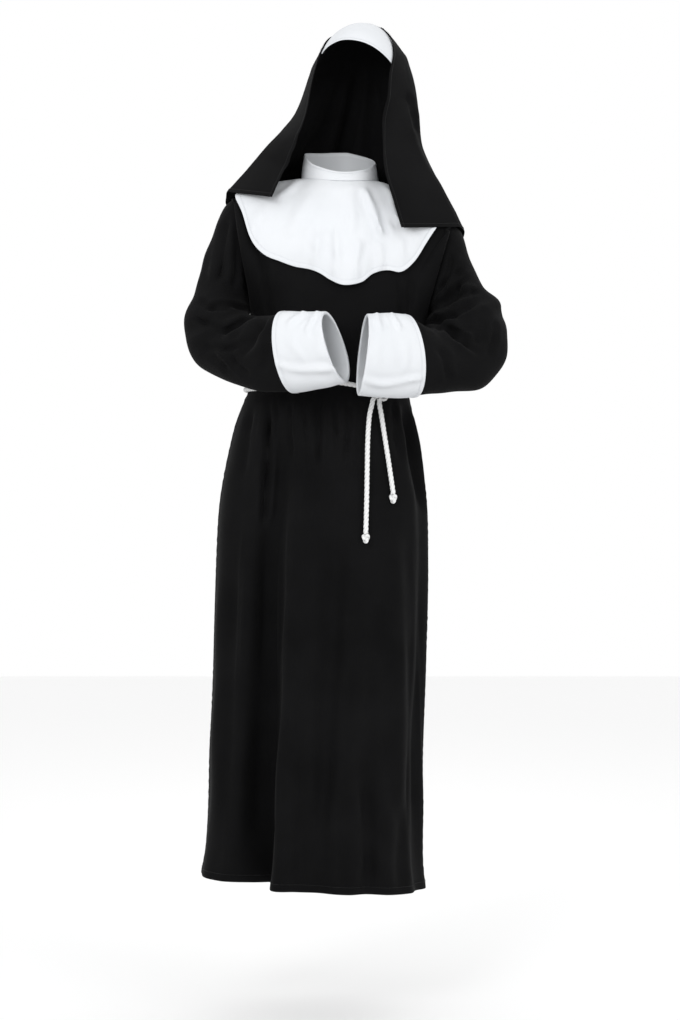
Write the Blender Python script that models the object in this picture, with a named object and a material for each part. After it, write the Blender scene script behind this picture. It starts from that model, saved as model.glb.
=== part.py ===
"""Nun habit: black robe, white cape collar and cuffs, veil with a headband, and a rope belt.

Metres, +Z up.  The front faces -Y and the wearer's left is at +X.  The origin is the middle of the
neck's base, between the shoulders.  Every piece of cloth is a thin wall, and each tube is hollow.
"""
import math
from collections import namedtuple

import bpy
from mathutils import Vector
from mathutils.bvhtree import BVHTree

# ---------------------------------------------------------------- driving sizes
CLOTH = 0.0015            # thickness of one layer of cloth
SEAM = 0.0004             # gap between two pieces at a seam
REST = 0.0030             # height of a piece's outer face over the piece that it lies on
VEIL_REST = 0.0066        # height of the veil over the robe and the sleeves
VEIL_REST_WHITE = 0.0029  # height of the veil over the collar
BAND_REST = 0.0010        # height of the headband over the head
VEIL_OVER_BAND = 0.0038   # height of the veil over the head, past the headband's ends
ROBE_HEM = -1.262         # height of the robe's hem
HEM_SLOPE = -0.07         # fall of the hem towards the wearer's left
HEM_SLOPE_TOP = -0.600
YOKE_FOOT = -0.270        # height where the shaped top of the robe begins
BELT_HEIGHT = -0.378
ROPE = 0.0088             # diameter of the rope
ARMHOLE_STEPS = 8         # columns of a panel along one side of an armhole
SHOULDER_STEPS = 3
NECK_STEPS = 8
SLEEVE_SIDES = 16         # two times ARMHOLE_STEPS, so the seam's corners meet
SHOULDER_COLUMN = 0.48    # where the shoulder seam starts, from 0 at the centre to 1 at the side
NECK_COLUMN = 0.27
HEAD_CENTRE = Vector((0.034, 0.0, 0.170))
HEAD_HALF_WIDTH = 0.078
HEAD_HALF_LENGTH = 0.098
HEAD_HALF_HEIGHT = 0.115
HEAD_TURN = math.radians(20)     # towards the wearer's right
HEAD_TILT = math.radians(22)     # back

FRONT, BACK = -1, 1

# ---------------------------------------------------------------- tables
# Body of the robe: one row for each level.
Level = namedtuple("Level", "z centre half_width front back")
LEVELS = [
    Level(-0.270, -0.003, 0.1605, 0.116, 0.098),
    Level(-0.330, -0.014, 0.1520, 0.111, 0.093),
    Level(-0.361, -0.021, 0.1490, 0.106, 0.089),
    Level(-0.378, -0.0225, 0.1440, 0.102, 0.085),
    Level(-0.395, -0.0240, 0.1485, 0.107, 0.090),
    Level(-0.450, -0.0290, 0.1640, 0.119, 0.103),
    Level(-0.560, -0.0310, 0.1845, 0.136, 0.122),
    Level(-0.660, -0.0330, 0.1905, 0.146, 0.130),
    Level(-0.850, -0.0375, 0.1915, 0.153, 0.136),
    Level(-1.030, -0.0440, 0.1920, 0.159, 0.142),
    Level(-1.210, -0.0475, 0.1955, 0.165, 0.147),
    Level(-1.262, -0.0490, 0.2020, 0.168, 0.150),
]
LOWER_ROWS = [-0.270, -0.330, -0.361, -0.378, -0.395, -0.450, -0.530, -0.640, -0.780, -0.940, -1.110, ROBE_HEM]
UPPER_ROWS = 6

# Folds of the robe: place across the panel at the top and foot, heights, width, and depth outward.
Fold = namedtuple("Fold", "face top_place foot_place top foot width top_depth foot_depth")
FOLDS = [
    Fold(FRONT, -0.30, -0.42, -0.40, -1.40, 0.19, -0.008, -0.070),
    Fold(FRONT, -0.28, -0.34, -0.45, -1.40, 0.13, -0.004, -0.036),
    Fold(FRONT, -0.14, -0.20, -0.42, -1.40, 0.11, 0.004, 0.022),
    Fold(FRONT, -0.70, -0.72, -0.42, -1.40, 0.20, 0.004, 0.012),
    Fold(FRONT, -0.08, -0.06, -0.28, -0.62, 0.09, -0.004, -0.004),
    Fold(FRONT, 0.06, 0.02, -0.45, -1.40, 0.13, -0.004, -0.012),
    Fold(FRONT, 0.31, 0.33, -0.50, -1.40, 0.15, -0.003, -0.016),
    Fold(FRONT, 0.78, 0.80, -0.40, -1.40, 0.16, -0.008, -0.010),
    Fold(FRONT, 0.50, 0.48, -0.22, -0.38, 0.10, -0.006, -0.004),
    Fold(FRONT, -0.52, -0.50, -0.22, -0.38, 0.10, -0.005, -0.004),
    Fold(BACK, -0.62, -0.66, -0.40, -1.40, 0.17, -0.006, -0.022),
    Fold(BACK, -0.22, -0.27, -0.40, -1.40, 0.17, -0.006, -0.030),
    Fold(BACK, 0.16, 0.14, -0.40, -1.40, 0.17, -0.006, -0.026),
    Fold(BACK, 0.56, 0.58, -0.40, -1.40, 0.17, -0.006, -0.020),
    Fold(BACK, 0.00, 0.00, -0.24, -0.42, 0.14, -0.006, -0.004),
]

# Sleeves: one row for each ring, from the armhole (0) to the sleeve's end.  The ring's two ends are
# on the inner line (armpit to wrist) and the outer line (shoulder to elbow to wrist).
Ring = namedtuple("Ring", "step inner_x inner_y inner_z outer_x outer_y outer_z half_depth turn")
RIGHT_SLEEVE = [
    Ring(0, -0.162, 0.000, -0.195, -0.195, 0.000, -0.035, 0.058, 0),
    Ring(0.5, -0.1665, -0.002, -0.204, -0.2095, -0.001, -0.050, 0.0585, 1),
    Ring(1, -0.169, -0.006, -0.212, -0.2205, -0.004, -0.074, 0.058, 2),
    Ring(2, -0.1705, -0.022, -0.228, -0.2437, -0.018, -0.144, 0.057, 6),
    Ring(3, -0.1675, -0.043, -0.241, -0.2600, -0.035, -0.208, 0.055, 10),
    Ring(4, -0.1615, -0.063, -0.248, -0.2777, -0.050, -0.259, 0.054, 13),
    Ring(5, -0.151, -0.083, -0.252, -0.2700, -0.064, -0.300, 0.053, 17),
    Ring(6, -0.142, -0.100, -0.254, -0.2493, -0.085, -0.341, 0.052, 21),
    Ring(7, -0.130, -0.126, -0.254, -0.2042, -0.116, -0.367, 0.050, 25),
    Ring(8, -0.118, -0.148, -0.2535, -0.1450, -0.146, -0.387, 0.047, 28),
    Ring(9, -0.1030, -0.166, -0.253, -0.0850, -0.166, -0.388, 0.045, 29),
    Ring(10, -0.0650, -0.188, -0.2545, -0.0380, -0.188, -0.382, 0.043, 27),
    Ring(11, -0.0258, -0.208, -0.255, 0.0075, -0.208, -0.374, 0.042, 24),
]
LEFT_SLEEVE = [
    Ring(0, 0.150, 0.000, -0.235, 0.200, 0.000, -0.080, 0.058, 0),
    Ring(0.5, 0.1535, -0.002, -0.241, 0.2125, -0.002, -0.092, 0.0585, 1),
    Ring(1, 0.157, -0.006, -0.246, 0.2215, -0.004, -0.110, 0.058, 2),
    Ring(2, 0.159, -0.019, -0.252, 0.2340, -0.012, -0.152, 0.057, 6),
    Ring(3, 0.159, -0.035, -0.257, 0.2530, -0.022, -0.194, 0.056, 10),
    Ring(4, 0.156, -0.051, -0.263, 0.2830, -0.035, -0.222, 0.055, 13),
    Ring(5, 0.151, -0.069, -0.268, 0.2925, -0.050, -0.272, 0.054, 17),
    Ring(6, 0.147, -0.090, -0.273, 0.2875, -0.068, -0.330, 0.053, 21),
    Ring(7, 0.134, -0.117, -0.269, 0.2490, -0.095, -0.379, 0.051, 25),
    Ring(8, 0.124, -0.142, -0.262, 0.1900, -0.128, -0.389, 0.048, 28),
    Ring(9, 0.1140, -0.160, -0.2585, 0.1300, -0.158, -0.395, 0.045, 28),
    Ring(10, 0.0800, -0.182, -0.2570, 0.0800, -0.184, -0.397, 0.043, 18),
    Ring(11, 0.0445, -0.206, -0.2590, 0.0300, -0.208, -0.396, 0.042, 10),
]
SLEEVE_STEPS = [0, 0.5, 1, 2, 3, 4, 4.5, 5, 5.6, 6.3, 7, 7.7, 8.4, 9, 9.7, 10.4, 10.9]
CUFF_STEPS = [9, 9.7, 10.4, 10.9]
CUFF_FOLD = 11            # outer face of the cuff's fold
CUFF_FOLD_INSIDE = 10.96
CUFF_LINING_STEPS = [9.7, 10.4, 10.9]

# Creases of the sleeves: place along and round (turns, 0 inner line, 0.25 front), reach, depth.
Crease = namedtuple("Crease", "step place steps width depth")
RIGHT_CREASES = [
    Crease(2.0, 0.36, 1.2, 0.10, -0.006),
    Crease(4.4, 0.33, 0.7, 0.17, -0.007),
    Crease(5.6, 0.17, 0.8, 0.13, -0.008),
    Crease(7.2, 0.22, 0.8, 0.13, -0.005),
    Crease(4.6, 0.68, 0.8, 0.14, -0.006),
    Crease(6.6, 0.80, 0.9, 0.14, -0.006),
]
LEFT_CREASES = [
    Crease(2.2, 0.20, 1.3, 0.09, -0.007),
    Crease(3.4, 0.33, 0.8, 0.12, -0.006),
    Crease(4.5, 0.42, 0.5, 0.14, -0.006),
    Crease(5.6, 0.17, 0.8, 0.13, -0.008),
    Crease(4.6, 0.68, 0.8, 0.14, -0.006),
    Crease(6.6, 0.80, 0.9, 0.14, -0.006),
]

# Neck: height of the seam at the front, side and back, and of the standing band's top edge.
Neck = namedtuple("Neck", "degrees robe_z band_z")
NECK = [
    Neck(-180, 0.012, 0.058),
    Neck(-165, 0.0100, 0.0574),
    Neck(-90, 0.000, 0.047),
    Neck(-45, -0.006, 0.022),
    Neck(0, -0.012, 0.008),
    Neck(45, -0.009, 0.014),
    Neck(90, -0.004, 0.032),
    Neck(165, 0.0093, 0.0571),
    Neck(180, 0.012, 0.058),
]
NECK_CENTRE = Vector((-0.002, 0.004))
NECK_HALF_WIDTH = 0.0665
NECK_HALF_DEPTH = 0.0630

# Hem of the cape collar: direction (0 front, 90 wearer's left), distance from the neck's axis,
# height, and how far a wave of the hem stands off the robe.
Hem = namedtuple("Hem", "degrees reach z wave")
COLLAR_HEM = [
    Hem(-180, 0.110, -0.190, 0.004),
    Hem(-150, 0.126, -0.172, 0.001),
    Hem(-120, 0.166, -0.115, 0.004),
    Hem(-90, 0.186, -0.030, 0.001),
    Hem(-74, 0.187, -0.068, 0.002),
    Hem(-59, 0.178, -0.132, 0.010),
    Hem(-40, 0.152, -0.160, 0.002),
    Hem(-20, 0.124, -0.176, 0.001),
    Hem(-8, 0.121, -0.192, 0.006),
    Hem(3, 0.121, -0.201, 0.012),
    Hem(18, 0.127, -0.193, 0.007),
    Hem(26, 0.134, -0.179, 0.001),
    Hem(37, 0.146, -0.170, 0.004),
    Hem(46, 0.156, -0.173, 0.011),
    Hem(58, 0.169, -0.140, 0.006),
    Hem(68, 0.176, -0.100, 0.002),
    Hem(90, 0.188, -0.076, 0.001),
    Hem(120, 0.166, -0.130, 0.004),
    Hem(150, 0.126, -0.175, 0.001),
    Hem(180, 0.110, -0.190, 0.004),
]
COLLAR_COLUMNS = 40
COLLAR_ROWS = 6

# Headband: how far round the head it runs, and from the forehead to the crown.
BAND_SIDE = math.radians(70)
BAND_FACE = math.radians(19)
BAND_CROWN = math.radians(74)
VEIL_SIDE_RIGHT = math.radians(36)     # how far the veil is sewn to the headband
VEIL_SIDE_LEFT = math.radians(30)

# Veil: one row for each section, from the headband's seam to the hem.  Each section runs from the
# free edge at the wearer's right, round the back, to the free edge at the left.
Drape = namedtuple("Drape", "step edge_r side_r back side_l edge_l")
VEIL = [
    Drape(0.25, (-0.0150, 0.031, 0.254), (-0.008, 0.047, 0.259), (0.045, 0.045, 0.276),
          (0.0880, 0.020, 0.259), (0.0845, -0.009, 0.2615)),
    Drape(0.5, (-0.0240, 0.0305, 0.2415), (-0.028, 0.062, 0.237), (0.048, 0.067, 0.264),
          (0.1055, 0.024, 0.2465), (0.0915, -0.020, 0.252)),
    Drape(1, (-0.0390, 0.006, 0.2125), (-0.049, 0.056, 0.208), (0.052, 0.090, 0.236),
          (0.119, 0.034, 0.226), (0.0935, -0.050, 0.213)),
    Drape(1.5, (-0.0480, -0.014, 0.187), (-0.055, 0.045, 0.188), (0.049, 0.101, 0.200),
          (0.127, 0.031, 0.200), (0.0850, -0.067, 0.180)),
    Drape(2, (-0.054, -0.034, 0.160), (-0.0625, 0.032, 0.165), (0.045, 0.110, 0.160),
          (0.134, 0.028, 0.170), (0.0790, -0.067, 0.142)),
    Drape(3, (-0.065, -0.058, 0.112), (-0.084, 0.022, 0.114), (0.034, 0.112, 0.088),
          (0.141, 0.024, 0.112), (0.0730, -0.070, 0.098)),
    Drape(4, (-0.080, -0.072, 0.058), (-0.126, 0.016, 0.066), (0.023, 0.114, 0.010),
          (0.147, 0.020, 0.060), (0.0735, -0.076, 0.050)),
    Drape(5, (-0.101, -0.085, 0.004), (-0.156, 0.012, 0.029), (0.014, 0.117, -0.080),
          (0.167, 0.016, 0.012), (0.0775, -0.088, 0.002)),
    Drape(6, (-0.112, -0.093, -0.021), (-0.182, 0.008, 0.001), (0.006, 0.120, -0.170),
          (0.189, 0.012, -0.034), (0.0880, -0.098, -0.036)),
    Drape(7, (-0.122, -0.099, -0.043), (-0.208, 0.004, -0.026), (0.000, 0.123, -0.262),
          (0.216, 0.008, -0.099), (0.1055, -0.110, -0.098)),
]
VEIL_STEPS = [0, 0.25, 0.5, 0.75, 1, 1.5, 2, 2.5, 3, 3.5, 4, 4.5, 5, 5.5, 6, 6.5, 7]
VEIL_COLUMNS = 36

# Folds of the veil: place across it (-1 to 1), the step where it starts, its width and depth.
Pleat = namedtuple("Pleat", "place start width depth")
VEIL_FOLDS = [
    Pleat(-0.42, 2.0, 0.12, 0.012),
    Pleat(-0.14, 1.5, 0.12, 0.012),
    Pleat(0.14, 1.5, 0.12, 0.012),
    Pleat(0.42, 2.0, 0.12, 0.012),
    Pleat(0.74, 1.5, 0.10, 0.006),
]

# Routes of the rope's two hanging ends, from the knot down; y is worked out from the robe.
LONG_END = [(0.0568, -0.3974), (0.0540, -0.410), (0.0500, -0.428), (0.0470, -0.468), (0.0458, -0.520), (0.0448, -0.575), (0.0432, -0.633)]
SHORT_END = [(0.0672, -0.3982), (0.0680, -0.410), (0.0705, -0.424), (0.0760, -0.460), (0.0832, -0.507), (0.0915, -0.5635)]
KNOT_PLACE = 0.062        # x of the belt's knot
KNOT_HEIGHT = -0.388
REST_REACH = 0.030        # a point further than this under a surface is past its edge
UNMOVED = 0.00001
LIFT_PASSES = 8
CELL_PLACES = [(0,), (1,), (2,), (3,), (0, 1), (1, 2), (2, 3), (3, 0), (0, 2), (1, 3),
               (0, 1, 2), (0, 2, 3), (0, 1, 3), (1, 2, 3), (0, 0, 2), (0, 2, 2), (1, 1, 3), (1, 3, 3)]
VEIL_RELAXINGS = 3
KNOT_SIZE = Vector((0.0125, 0.0085, 0.0100))
TIP_SIZE = Vector((0.0072, 0.0068, 0.0095))


# ---------------------------------------------------------------- helpers
def bump(distance):
    """A smooth hill: 1 in the middle, 0 from distance 1 outward."""
    return 0.5 + 0.5 * math.cos(math.pi * distance) if abs(distance) < 1 else 0.0


def ease(amount):
    """0 to 1 with level ends."""
    amount = min(max(amount, 0.0), 1.0)
    return amount * amount * (3 - 2 * amount)


def mix(low, high, amount):
    return low + (high - low) * amount


def hermite(start, end, leave, arrive, t):
    """A cubic from start to end with the slopes leave and arrive."""
    t2, t3 = t * t, t * t * t
    return (start * (2 * t3 - 3 * t2 + 1) + end * (3 * t2 - 2 * t3)
            + leave * (t3 - 2 * t2 + t) + arrive * (t3 - t2))


def read_table(rows, at):
    """The row of a table at a value of its first column, with every other column smoothly between."""
    rows = sorted(rows, key=lambda row: row[0])
    at = min(max(at, rows[0][0]), rows[-1][0])
    index = max(i for i in range(len(rows) - 1) if rows[i][0] <= at)
    before, low = rows[max(index - 1, 0)], rows[index]
    high, after = rows[index + 1], rows[min(index + 2, len(rows) - 1)]
    span = high[0] - low[0]
    values = [at]
    for a, b, c, d in zip(before[1:], low[1:], high[1:], after[1:]):
        leave = (c - a) * (span / (high[0] - before[0]))
        arrive = (d - b) * (span / (after[0] - low[0]))
        values.append(hermite(b, c, leave, arrive, (at - low[0]) / span))
    return type(low)(*values)


Along = namedtuple("Along", "amount point")


def through(points, amount):
    """A place on the smooth curve through a few points; amount runs from 0 to 1 by length."""
    lengths = [0.0]
    for start, end in zip(points, points[1:]):
        lengths.append(lengths[-1] + (end - start).length)
    rows = [Along(length / lengths[-1], point) for length, point in zip(lengths, points)]
    return read_table(rows, amount).point


def spread(low, high, steps):
    """Evenly spaced values from low to high, both included."""
    return [mix(low, high, i / steps) for i in range(steps + 1)]


# ---------------------------------------------------------------- shapes of the pieces
def neck_point(degrees, height, grow=0.0):
    """A point on the neck's oval; 0 degrees is the front and 90 the wearer's left."""
    angle = math.radians(degrees)
    return Vector((NECK_CENTRE.x + (NECK_HALF_WIDTH + grow) * math.sin(angle),
                   NECK_CENTRE.y - (NECK_HALF_DEPTH + grow) * math.cos(angle), height))


def sleeve_ring(table, step, turns):
    """A point on a sleeve's ring; 0 turns is the inner line and 0.25 the front."""
    ring = read_table(table, step)
    inner = Vector((ring.inner_x, ring.inner_y, ring.inner_z))
    outer = Vector((ring.outer_x, ring.outer_y, ring.outer_z))
    side = 1 if table is LEFT_SLEEVE else -1
    turn = math.radians(ring.turn)
    forward = Vector((side * math.sin(turn), -math.cos(turn), 0)) * ring.half_depth
    centre, half = (inner + outer) / 2, (inner - outer) / 2
    angle = 2 * math.pi * turns
    return centre + half * math.cos(angle) + forward * math.sin(angle)


def sleeve_point(table, creases, step, turns):
    """A point on a sleeve with its creases; the first ring stands a seam's gap off the robe."""
    point = sleeve_ring(table, step, turns)
    middle = (sleeve_ring(table, step, turns + 0.5) + point) / 2
    depth = sum(c.depth * bump((step - c.step) / c.steps) * bump((turns - c.place) / c.width)
                for c in creases)
    point += (point - middle).normalized() * depth
    outward = 1 if table is LEFT_SLEEVE else -1
    point.x += outward * SEAM * bump(step)
    return point


def body_point(face, place, z):
    """A point on the robe below the yoke; place runs from -1 (wearer's right) to 1."""
    level = read_table(LEVELS, z)
    angle = place * math.pi / 2
    depth = level.front if face == FRONT else level.back
    point = Vector((level.centre + level.half_width * math.sin(angle), face * depth * math.cos(angle), z))
    outward = Vector((math.sin(angle) / level.half_width, face * math.cos(angle) / depth, 0)).normalized()
    height = 0.0
    for fold in FOLDS:
        if fold.face != face or not fold.foot <= z <= fold.top:
            continue
        down = (fold.top - z) / (fold.top - fold.foot)
        middle = mix(fold.top_place, fold.foot_place, down)
        fade = ease((fold.top - z) / 0.06) * ease((z - fold.foot) / 0.06)
        height += fade * mix(fold.top_depth, fold.foot_depth, down) * bump((place - middle) / fold.width)
    point += outward * height
    point.z += HEM_SLOPE * point.x * ease((HEM_SLOPE_TOP - z) / (HEM_SLOPE_TOP - ROBE_HEM))
    return point


def top_edge(face, place):
    """Top edge of a panel, and the direction in which its cloth arrives there."""
    table = LEFT_SLEEVE if place > 0 else RIGHT_SLEEVE
    out = abs(place)
    over = Vector((0, -face, 0))
    if out >= SHOULDER_COLUMN:                       # armhole, from the armpit to the shoulder
        up = (1 - out) / (1 - SHOULDER_COLUMN)
        turns = up / 2 if face == FRONT else 1 - up / 2
        lean = ease(up) ** 2
        return sleeve_ring(table, 0, turns), (over * lean + Vector((0, 0, 1 - lean))).normalized()
    neck_side = 90 if place > 0 else -90
    if out >= NECK_COLUMN:                           # shoulder seam, from the tip to the neck
        inward = (SHOULDER_COLUMN - out) / (SHOULDER_COLUMN - NECK_COLUMN)
        tip = sleeve_ring(table, 0, 0.5)
        neck = neck_point(neck_side, read_table(NECK, neck_side).robe_z, 0.001)
        point = tip.lerp(neck, inward)
        point.z += 0.006 * math.sin(math.pi * inward)
        return point, over
    degrees = 90 * place / NECK_COLUMN
    if face == BACK:
        degrees = math.copysign(180, place) - degrees if place else 180
    rise = math.cos(math.pi / 2 * out / NECK_COLUMN)
    point = neck_point(degrees, read_table(NECK, degrees).robe_z, 0.001)
    return point, (over * (1 - 0.45 * rise) + Vector((0, 0, 0.8 * rise))).normalized()


def panel_point(face, place, down):
    """A point on a robe panel; down is 0 at the top edge, 1 at the yoke's foot, then in rows."""
    if down <= 1:
        foot = body_point(face, place, YOKE_FOOT)
        top, over = top_edge(face, place)
        reach = (top - foot).length
        point = hermite(foot, top, Vector((0, 0, reach)), over * reach, 1 - down)
    else:
        row = min(int(down - 1), len(LOWER_ROWS) - 2)
        point = body_point(face, place, mix(LOWER_ROWS[row], LOWER_ROWS[row + 1], down - 1 - row))
    point.y += face * SEAM / 2
    return point


def panel_places(finer=1):
    """Columns of a panel, so that the armhole's columns meet the sleeve's."""
    half = (spread(1, SHOULDER_COLUMN, ARMHOLE_STEPS * finer)[:-1]
            + spread(SHOULDER_COLUMN, NECK_COLUMN, SHOULDER_STEPS * finer)[:-1]
            + spread(NECK_COLUMN, 0, NECK_STEPS * finer // 2))
    return [-place for place in half] + half[-2::-1]


def panel_grid(face, finer=1):
    """Rows of a panel's points, both panels counted from the wearer's right as seen from outside."""
    rows = spread(0, 1, UPPER_ROWS * finer)
    rows += [1 + i / finer for i in range(1, (len(LOWER_ROWS) - 1) * finer + 1)]
    grid = [[panel_point(face, place, down) for place in panel_places(finer)] for down in rows]
    return grid if face == FRONT else [line[::-1] for line in grid]


def sleeve_grid(table, creases, steps=SLEEVE_STEPS):
    """Rings of a sleeve, turned the same way round as seen from outside."""
    turns = [i / SLEEVE_SIDES for i in range(SLEEVE_SIDES)]
    grid = [[sleeve_point(table, creases, step, turn) for turn in turns] for step in steps]
    return grid if table is LEFT_SLEEVE else [line[::-1] for line in grid]


def head_axes():
    """The head's directions to the wearer's left, ahead and up."""
    across = Vector((math.cos(HEAD_TURN), -math.sin(HEAD_TURN), 0))
    ahead = Vector((-math.sin(HEAD_TURN), -math.cos(HEAD_TURN), 0)) * math.cos(HEAD_TILT)
    ahead.z = math.sin(HEAD_TILT)
    return across, ahead, ahead.cross(across)


def head_point(side, up, grow=0.0):
    """A point on the head; side is the angle to the wearer's left, up from the forehead back."""
    across, ahead, crown = head_axes()
    return (HEAD_CENTRE + across * (HEAD_HALF_WIDTH + grow) * math.sin(side)
            + ahead * (HEAD_HALF_LENGTH + grow) * math.cos(side) * math.cos(up)
            + crown * (HEAD_HALF_HEIGHT + grow) * math.cos(side) * math.sin(up))


def head_normal(side, up):
    across, ahead, crown = head_axes()
    return (across / HEAD_HALF_WIDTH * math.sin(side)
            + ahead / HEAD_HALF_LENGTH * math.cos(side) * math.cos(up)
            + crown / HEAD_HALF_HEIGHT * math.cos(side) * math.sin(up)).normalized()


def head_reach(point):
    """How far a point is from the head's centre along the head's axes; 1 is the veil's least."""
    halves = (HEAD_HALF_WIDTH, HEAD_HALF_LENGTH, HEAD_HALF_HEIGHT)
    offset = point - HEAD_CENTRE
    return Vector([offset.dot(axis) / (half + VEIL_OVER_BAND) for axis, half in zip(head_axes(), halves)])


def clear_of_head(point):
    """Moves a point of the veil away from the head's centre until it clears the headband."""
    return HEAD_CENTRE + (point - HEAD_CENTRE) / min(head_reach(point).length, 1)


def away_from_head(point):
    across, ahead, crown = head_axes()
    reach = head_reach(point)
    return (across * reach.x / HEAD_HALF_WIDTH + ahead * reach.y / HEAD_HALF_LENGTH
            + crown * reach.z / HEAD_HALF_HEIGHT).normalized()


def veil_seam(place):
    """A point on the veil's top edge; place runs from -1 to 1."""
    side = VEIL_SIDE_LEFT if place > 0 else VEIL_SIDE_RIGHT
    over = (VEIL_OVER_BAND - BAND_REST) * ease((abs(place) - 0.5) / 0.4)
    return head_point(side * place, BAND_CROWN + 1.2 * SEAM / HEAD_HALF_HEIGHT, BAND_REST + over)


def veil_section(step, place):
    """A point on the veil's section at a step, without folds; place runs from -1 to 1."""
    seam = [veil_seam(turn) for turn in (-1, -0.5, 0, 0.5, 1)]
    rows = [Drape(0, *seam)] + [Drape(row.step, *[Vector(point) for point in row[1:]]) for row in VEIL]
    section = read_table(rows, step)
    missed = veil_seam(place) - through(seam, (place + 1) / 2)
    return through(section[1:], (place + 1) / 2) + missed * (1 - ease(step))


def veil_point(step, place):
    point = veil_section(step, place)
    ahead = veil_section(step, min(place + 0.02, 1)) - veil_section(step, max(place - 0.02, -1))
    below = veil_section(min(step + 0.1, 7), place) - veil_section(max(step - 0.1, 0), place)
    outward = ahead.cross(below).normalized()
    depth = sum(f.depth * ease((step - f.start) / 3) * bump((place - f.place) / f.width) for f in VEIL_FOLDS)
    return point + outward * depth


def settle(point, tree, least, most):
    """Moves a point so that it lies between two heights over the surface below."""
    spot, normal, _, distance = tree.find_nearest(point)
    if (point - spot).dot(normal) < -0.7 * distance:             # under the surface
        return spot + normal * least
    return spot + (point - spot).normalized() * min(max(distance, least), most)


def lifted(grid, tree, least, closed=False):
    """The grid lifted, but for its first row, until its faces too clear the surface below."""
    rows, columns = len(grid), len(grid[0])
    grid = [[point.copy() for point in line] for line in grid]
    for _ in range(LIFT_PASSES):
        pushes = {}
        for r in range(rows - 1):
            for c in range(columns if closed else columns - 1):
                d = (c + 1) % columns
                corners = [(r, c), (r, d), (r + 1, d), (r + 1, c)]
                for picks in CELL_PLACES:
                    points = [grid[corners[i][0]][corners[i][1]] for i in picks]
                    middle = sum(points, Vector()) / len(points)
                    push = settle(middle, tree, least, 1.0) - middle
                    if UNMOVED < push.length < REST_REACH:
                        for i in picks:
                            if push.length > pushes.get(corners[i], Vector()).length:
                                pushes[corners[i]] = push
        for (r, c), push in pushes.items():
            if r > 0:
                grid[r][c] += push
    return grid


def relaxed(grid, closed):
    """The grid with each point drawn halfway to the middle of its neighbours, and its ends kept."""
    rows, columns = len(grid), len(grid[0])
    result = [line[:] for line in grid]
    for r in range(1, rows - 1):
        for c in range(columns):
            if closed or 0 < c < columns - 1:
                around = grid[r - 1][c] + grid[r + 1][c] + grid[r][c - 1] + grid[r][(c + 1) % columns]
                result[r][c] = (grid[r][c] + around / 4) / 2
    return result


def collar_grid(tree):
    grid = []
    for row in range(COLLAR_ROWS + 1):
        out = row / COLLAR_ROWS
        line = []
        for column in range(COLLAR_COLUMNS):
            degrees = -180 + 360 * column / COLLAR_COLUMNS
            hem = read_table(COLLAR_HEM, degrees)
            neck = neck_point(degrees, read_table(NECK, degrees).robe_z + REST + SEAM, 0.0015)
            angle = math.radians(degrees)
            foot = Vector((hem.reach * math.sin(angle), -hem.reach * math.cos(angle), hem.z))
            point = neck.lerp(foot, out)
            point.z += 0.03 * math.sin(math.pi * out)
            lift = REST + hem.wave * ease(out * 1.3 - 0.3)
            line.append(neck if row == 0 else settle(point, tree, lift, lift))
        grid.append(line)
    return lifted(relaxed(grid, True), tree, REST, True)


def veil_grid(robe_tree, white_tree):
    """The veil, kept clear of the head, the robe, the sleeves and the collar."""
    grid = [[veil_point(step, place) for place in spread(-1, 1, VEIL_COLUMNS)] for step in VEIL_STEPS]
    top = VEIL_STEPS.index(1) + 1
    for _ in range(VEIL_RELAXINGS):
        grid = relaxed(grid[:top], False) + grid[top:]
    for _ in range(2):
        grid = [grid[0]] + [[clear_of_head(point) for point in line] for line in grid[1:]]
        grid = lifted(grid, robe_tree, VEIL_REST)
        grid = lifted(grid, white_tree, VEIL_REST_WHITE)
    return grid


# ---------------------------------------------------------------- making solids
def normals_of(grid, closed):
    """Outward direction at each point of a grid, from its neighbours."""
    rows, columns = len(grid), len(grid[0])
    result = []
    for r in range(rows):
        line = []
        for c in range(columns):
            if closed:
                along = grid[r][(c + 1) % columns] - grid[r][c - 1]
            else:
                along = grid[r][min(c + 1, columns - 1)] - grid[r][max(c - 1, 0)]
            down = grid[min(r + 1, rows - 1)][c] - grid[max(r - 1, 0)][c]
            line.append(down.cross(along).normalized())
        result.append(line)
    return result


def moved(grid, normals, distance):
    """The grid moved outward by a distance."""
    return [[point + normal * distance for point, normal in zip(*lines)] for lines in zip(grid, normals)]


def on_own_side(direction, table, inside):
    """Turns a rim's outward direction so that the wall stays on its own side of the armhole."""
    down = sleeve_ring(table, 0, 0) - sleeve_ring(table, 0, 0.5)
    away = down.cross(Vector((0, 1, 0))).normalized()
    if (away.x > 0) != (table is LEFT_SLEEVE):
        away = -away
    across = direction.dot(away)
    wrong = min(across, 0) if inside else max(across, 0)
    return (direction - away * wrong).normalized()


def panel_normals(face, finer=1):
    """Outward directions of a panel; those on a seam lie in the seam's plane, as its neighbour's do."""
    normals = normals_of(panel_grid(face, finer), False)
    places = panel_places(finer)
    if face == BACK:
        places = places[::-1]
    for column, place in enumerate(places):
        if abs(place) >= SHOULDER_COLUMN:
            table = LEFT_SLEEVE if place > 0 else RIGHT_SLEEVE
            normals[0][column] = on_own_side(normals[0][column], table, True)
        if NECK_COLUMN <= abs(place) <= SHOULDER_COLUMN:
            normals[0][column] = flattened(normals[0][column])
    for line in normals:
        line[0], line[-1] = flattened(line[0]), flattened(line[-1])
    return normals


def flattened(direction):
    """The direction turned into the plane of the side and shoulder seams."""
    return Vector((direction.x, 0, direction.z)).normalized()


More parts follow.
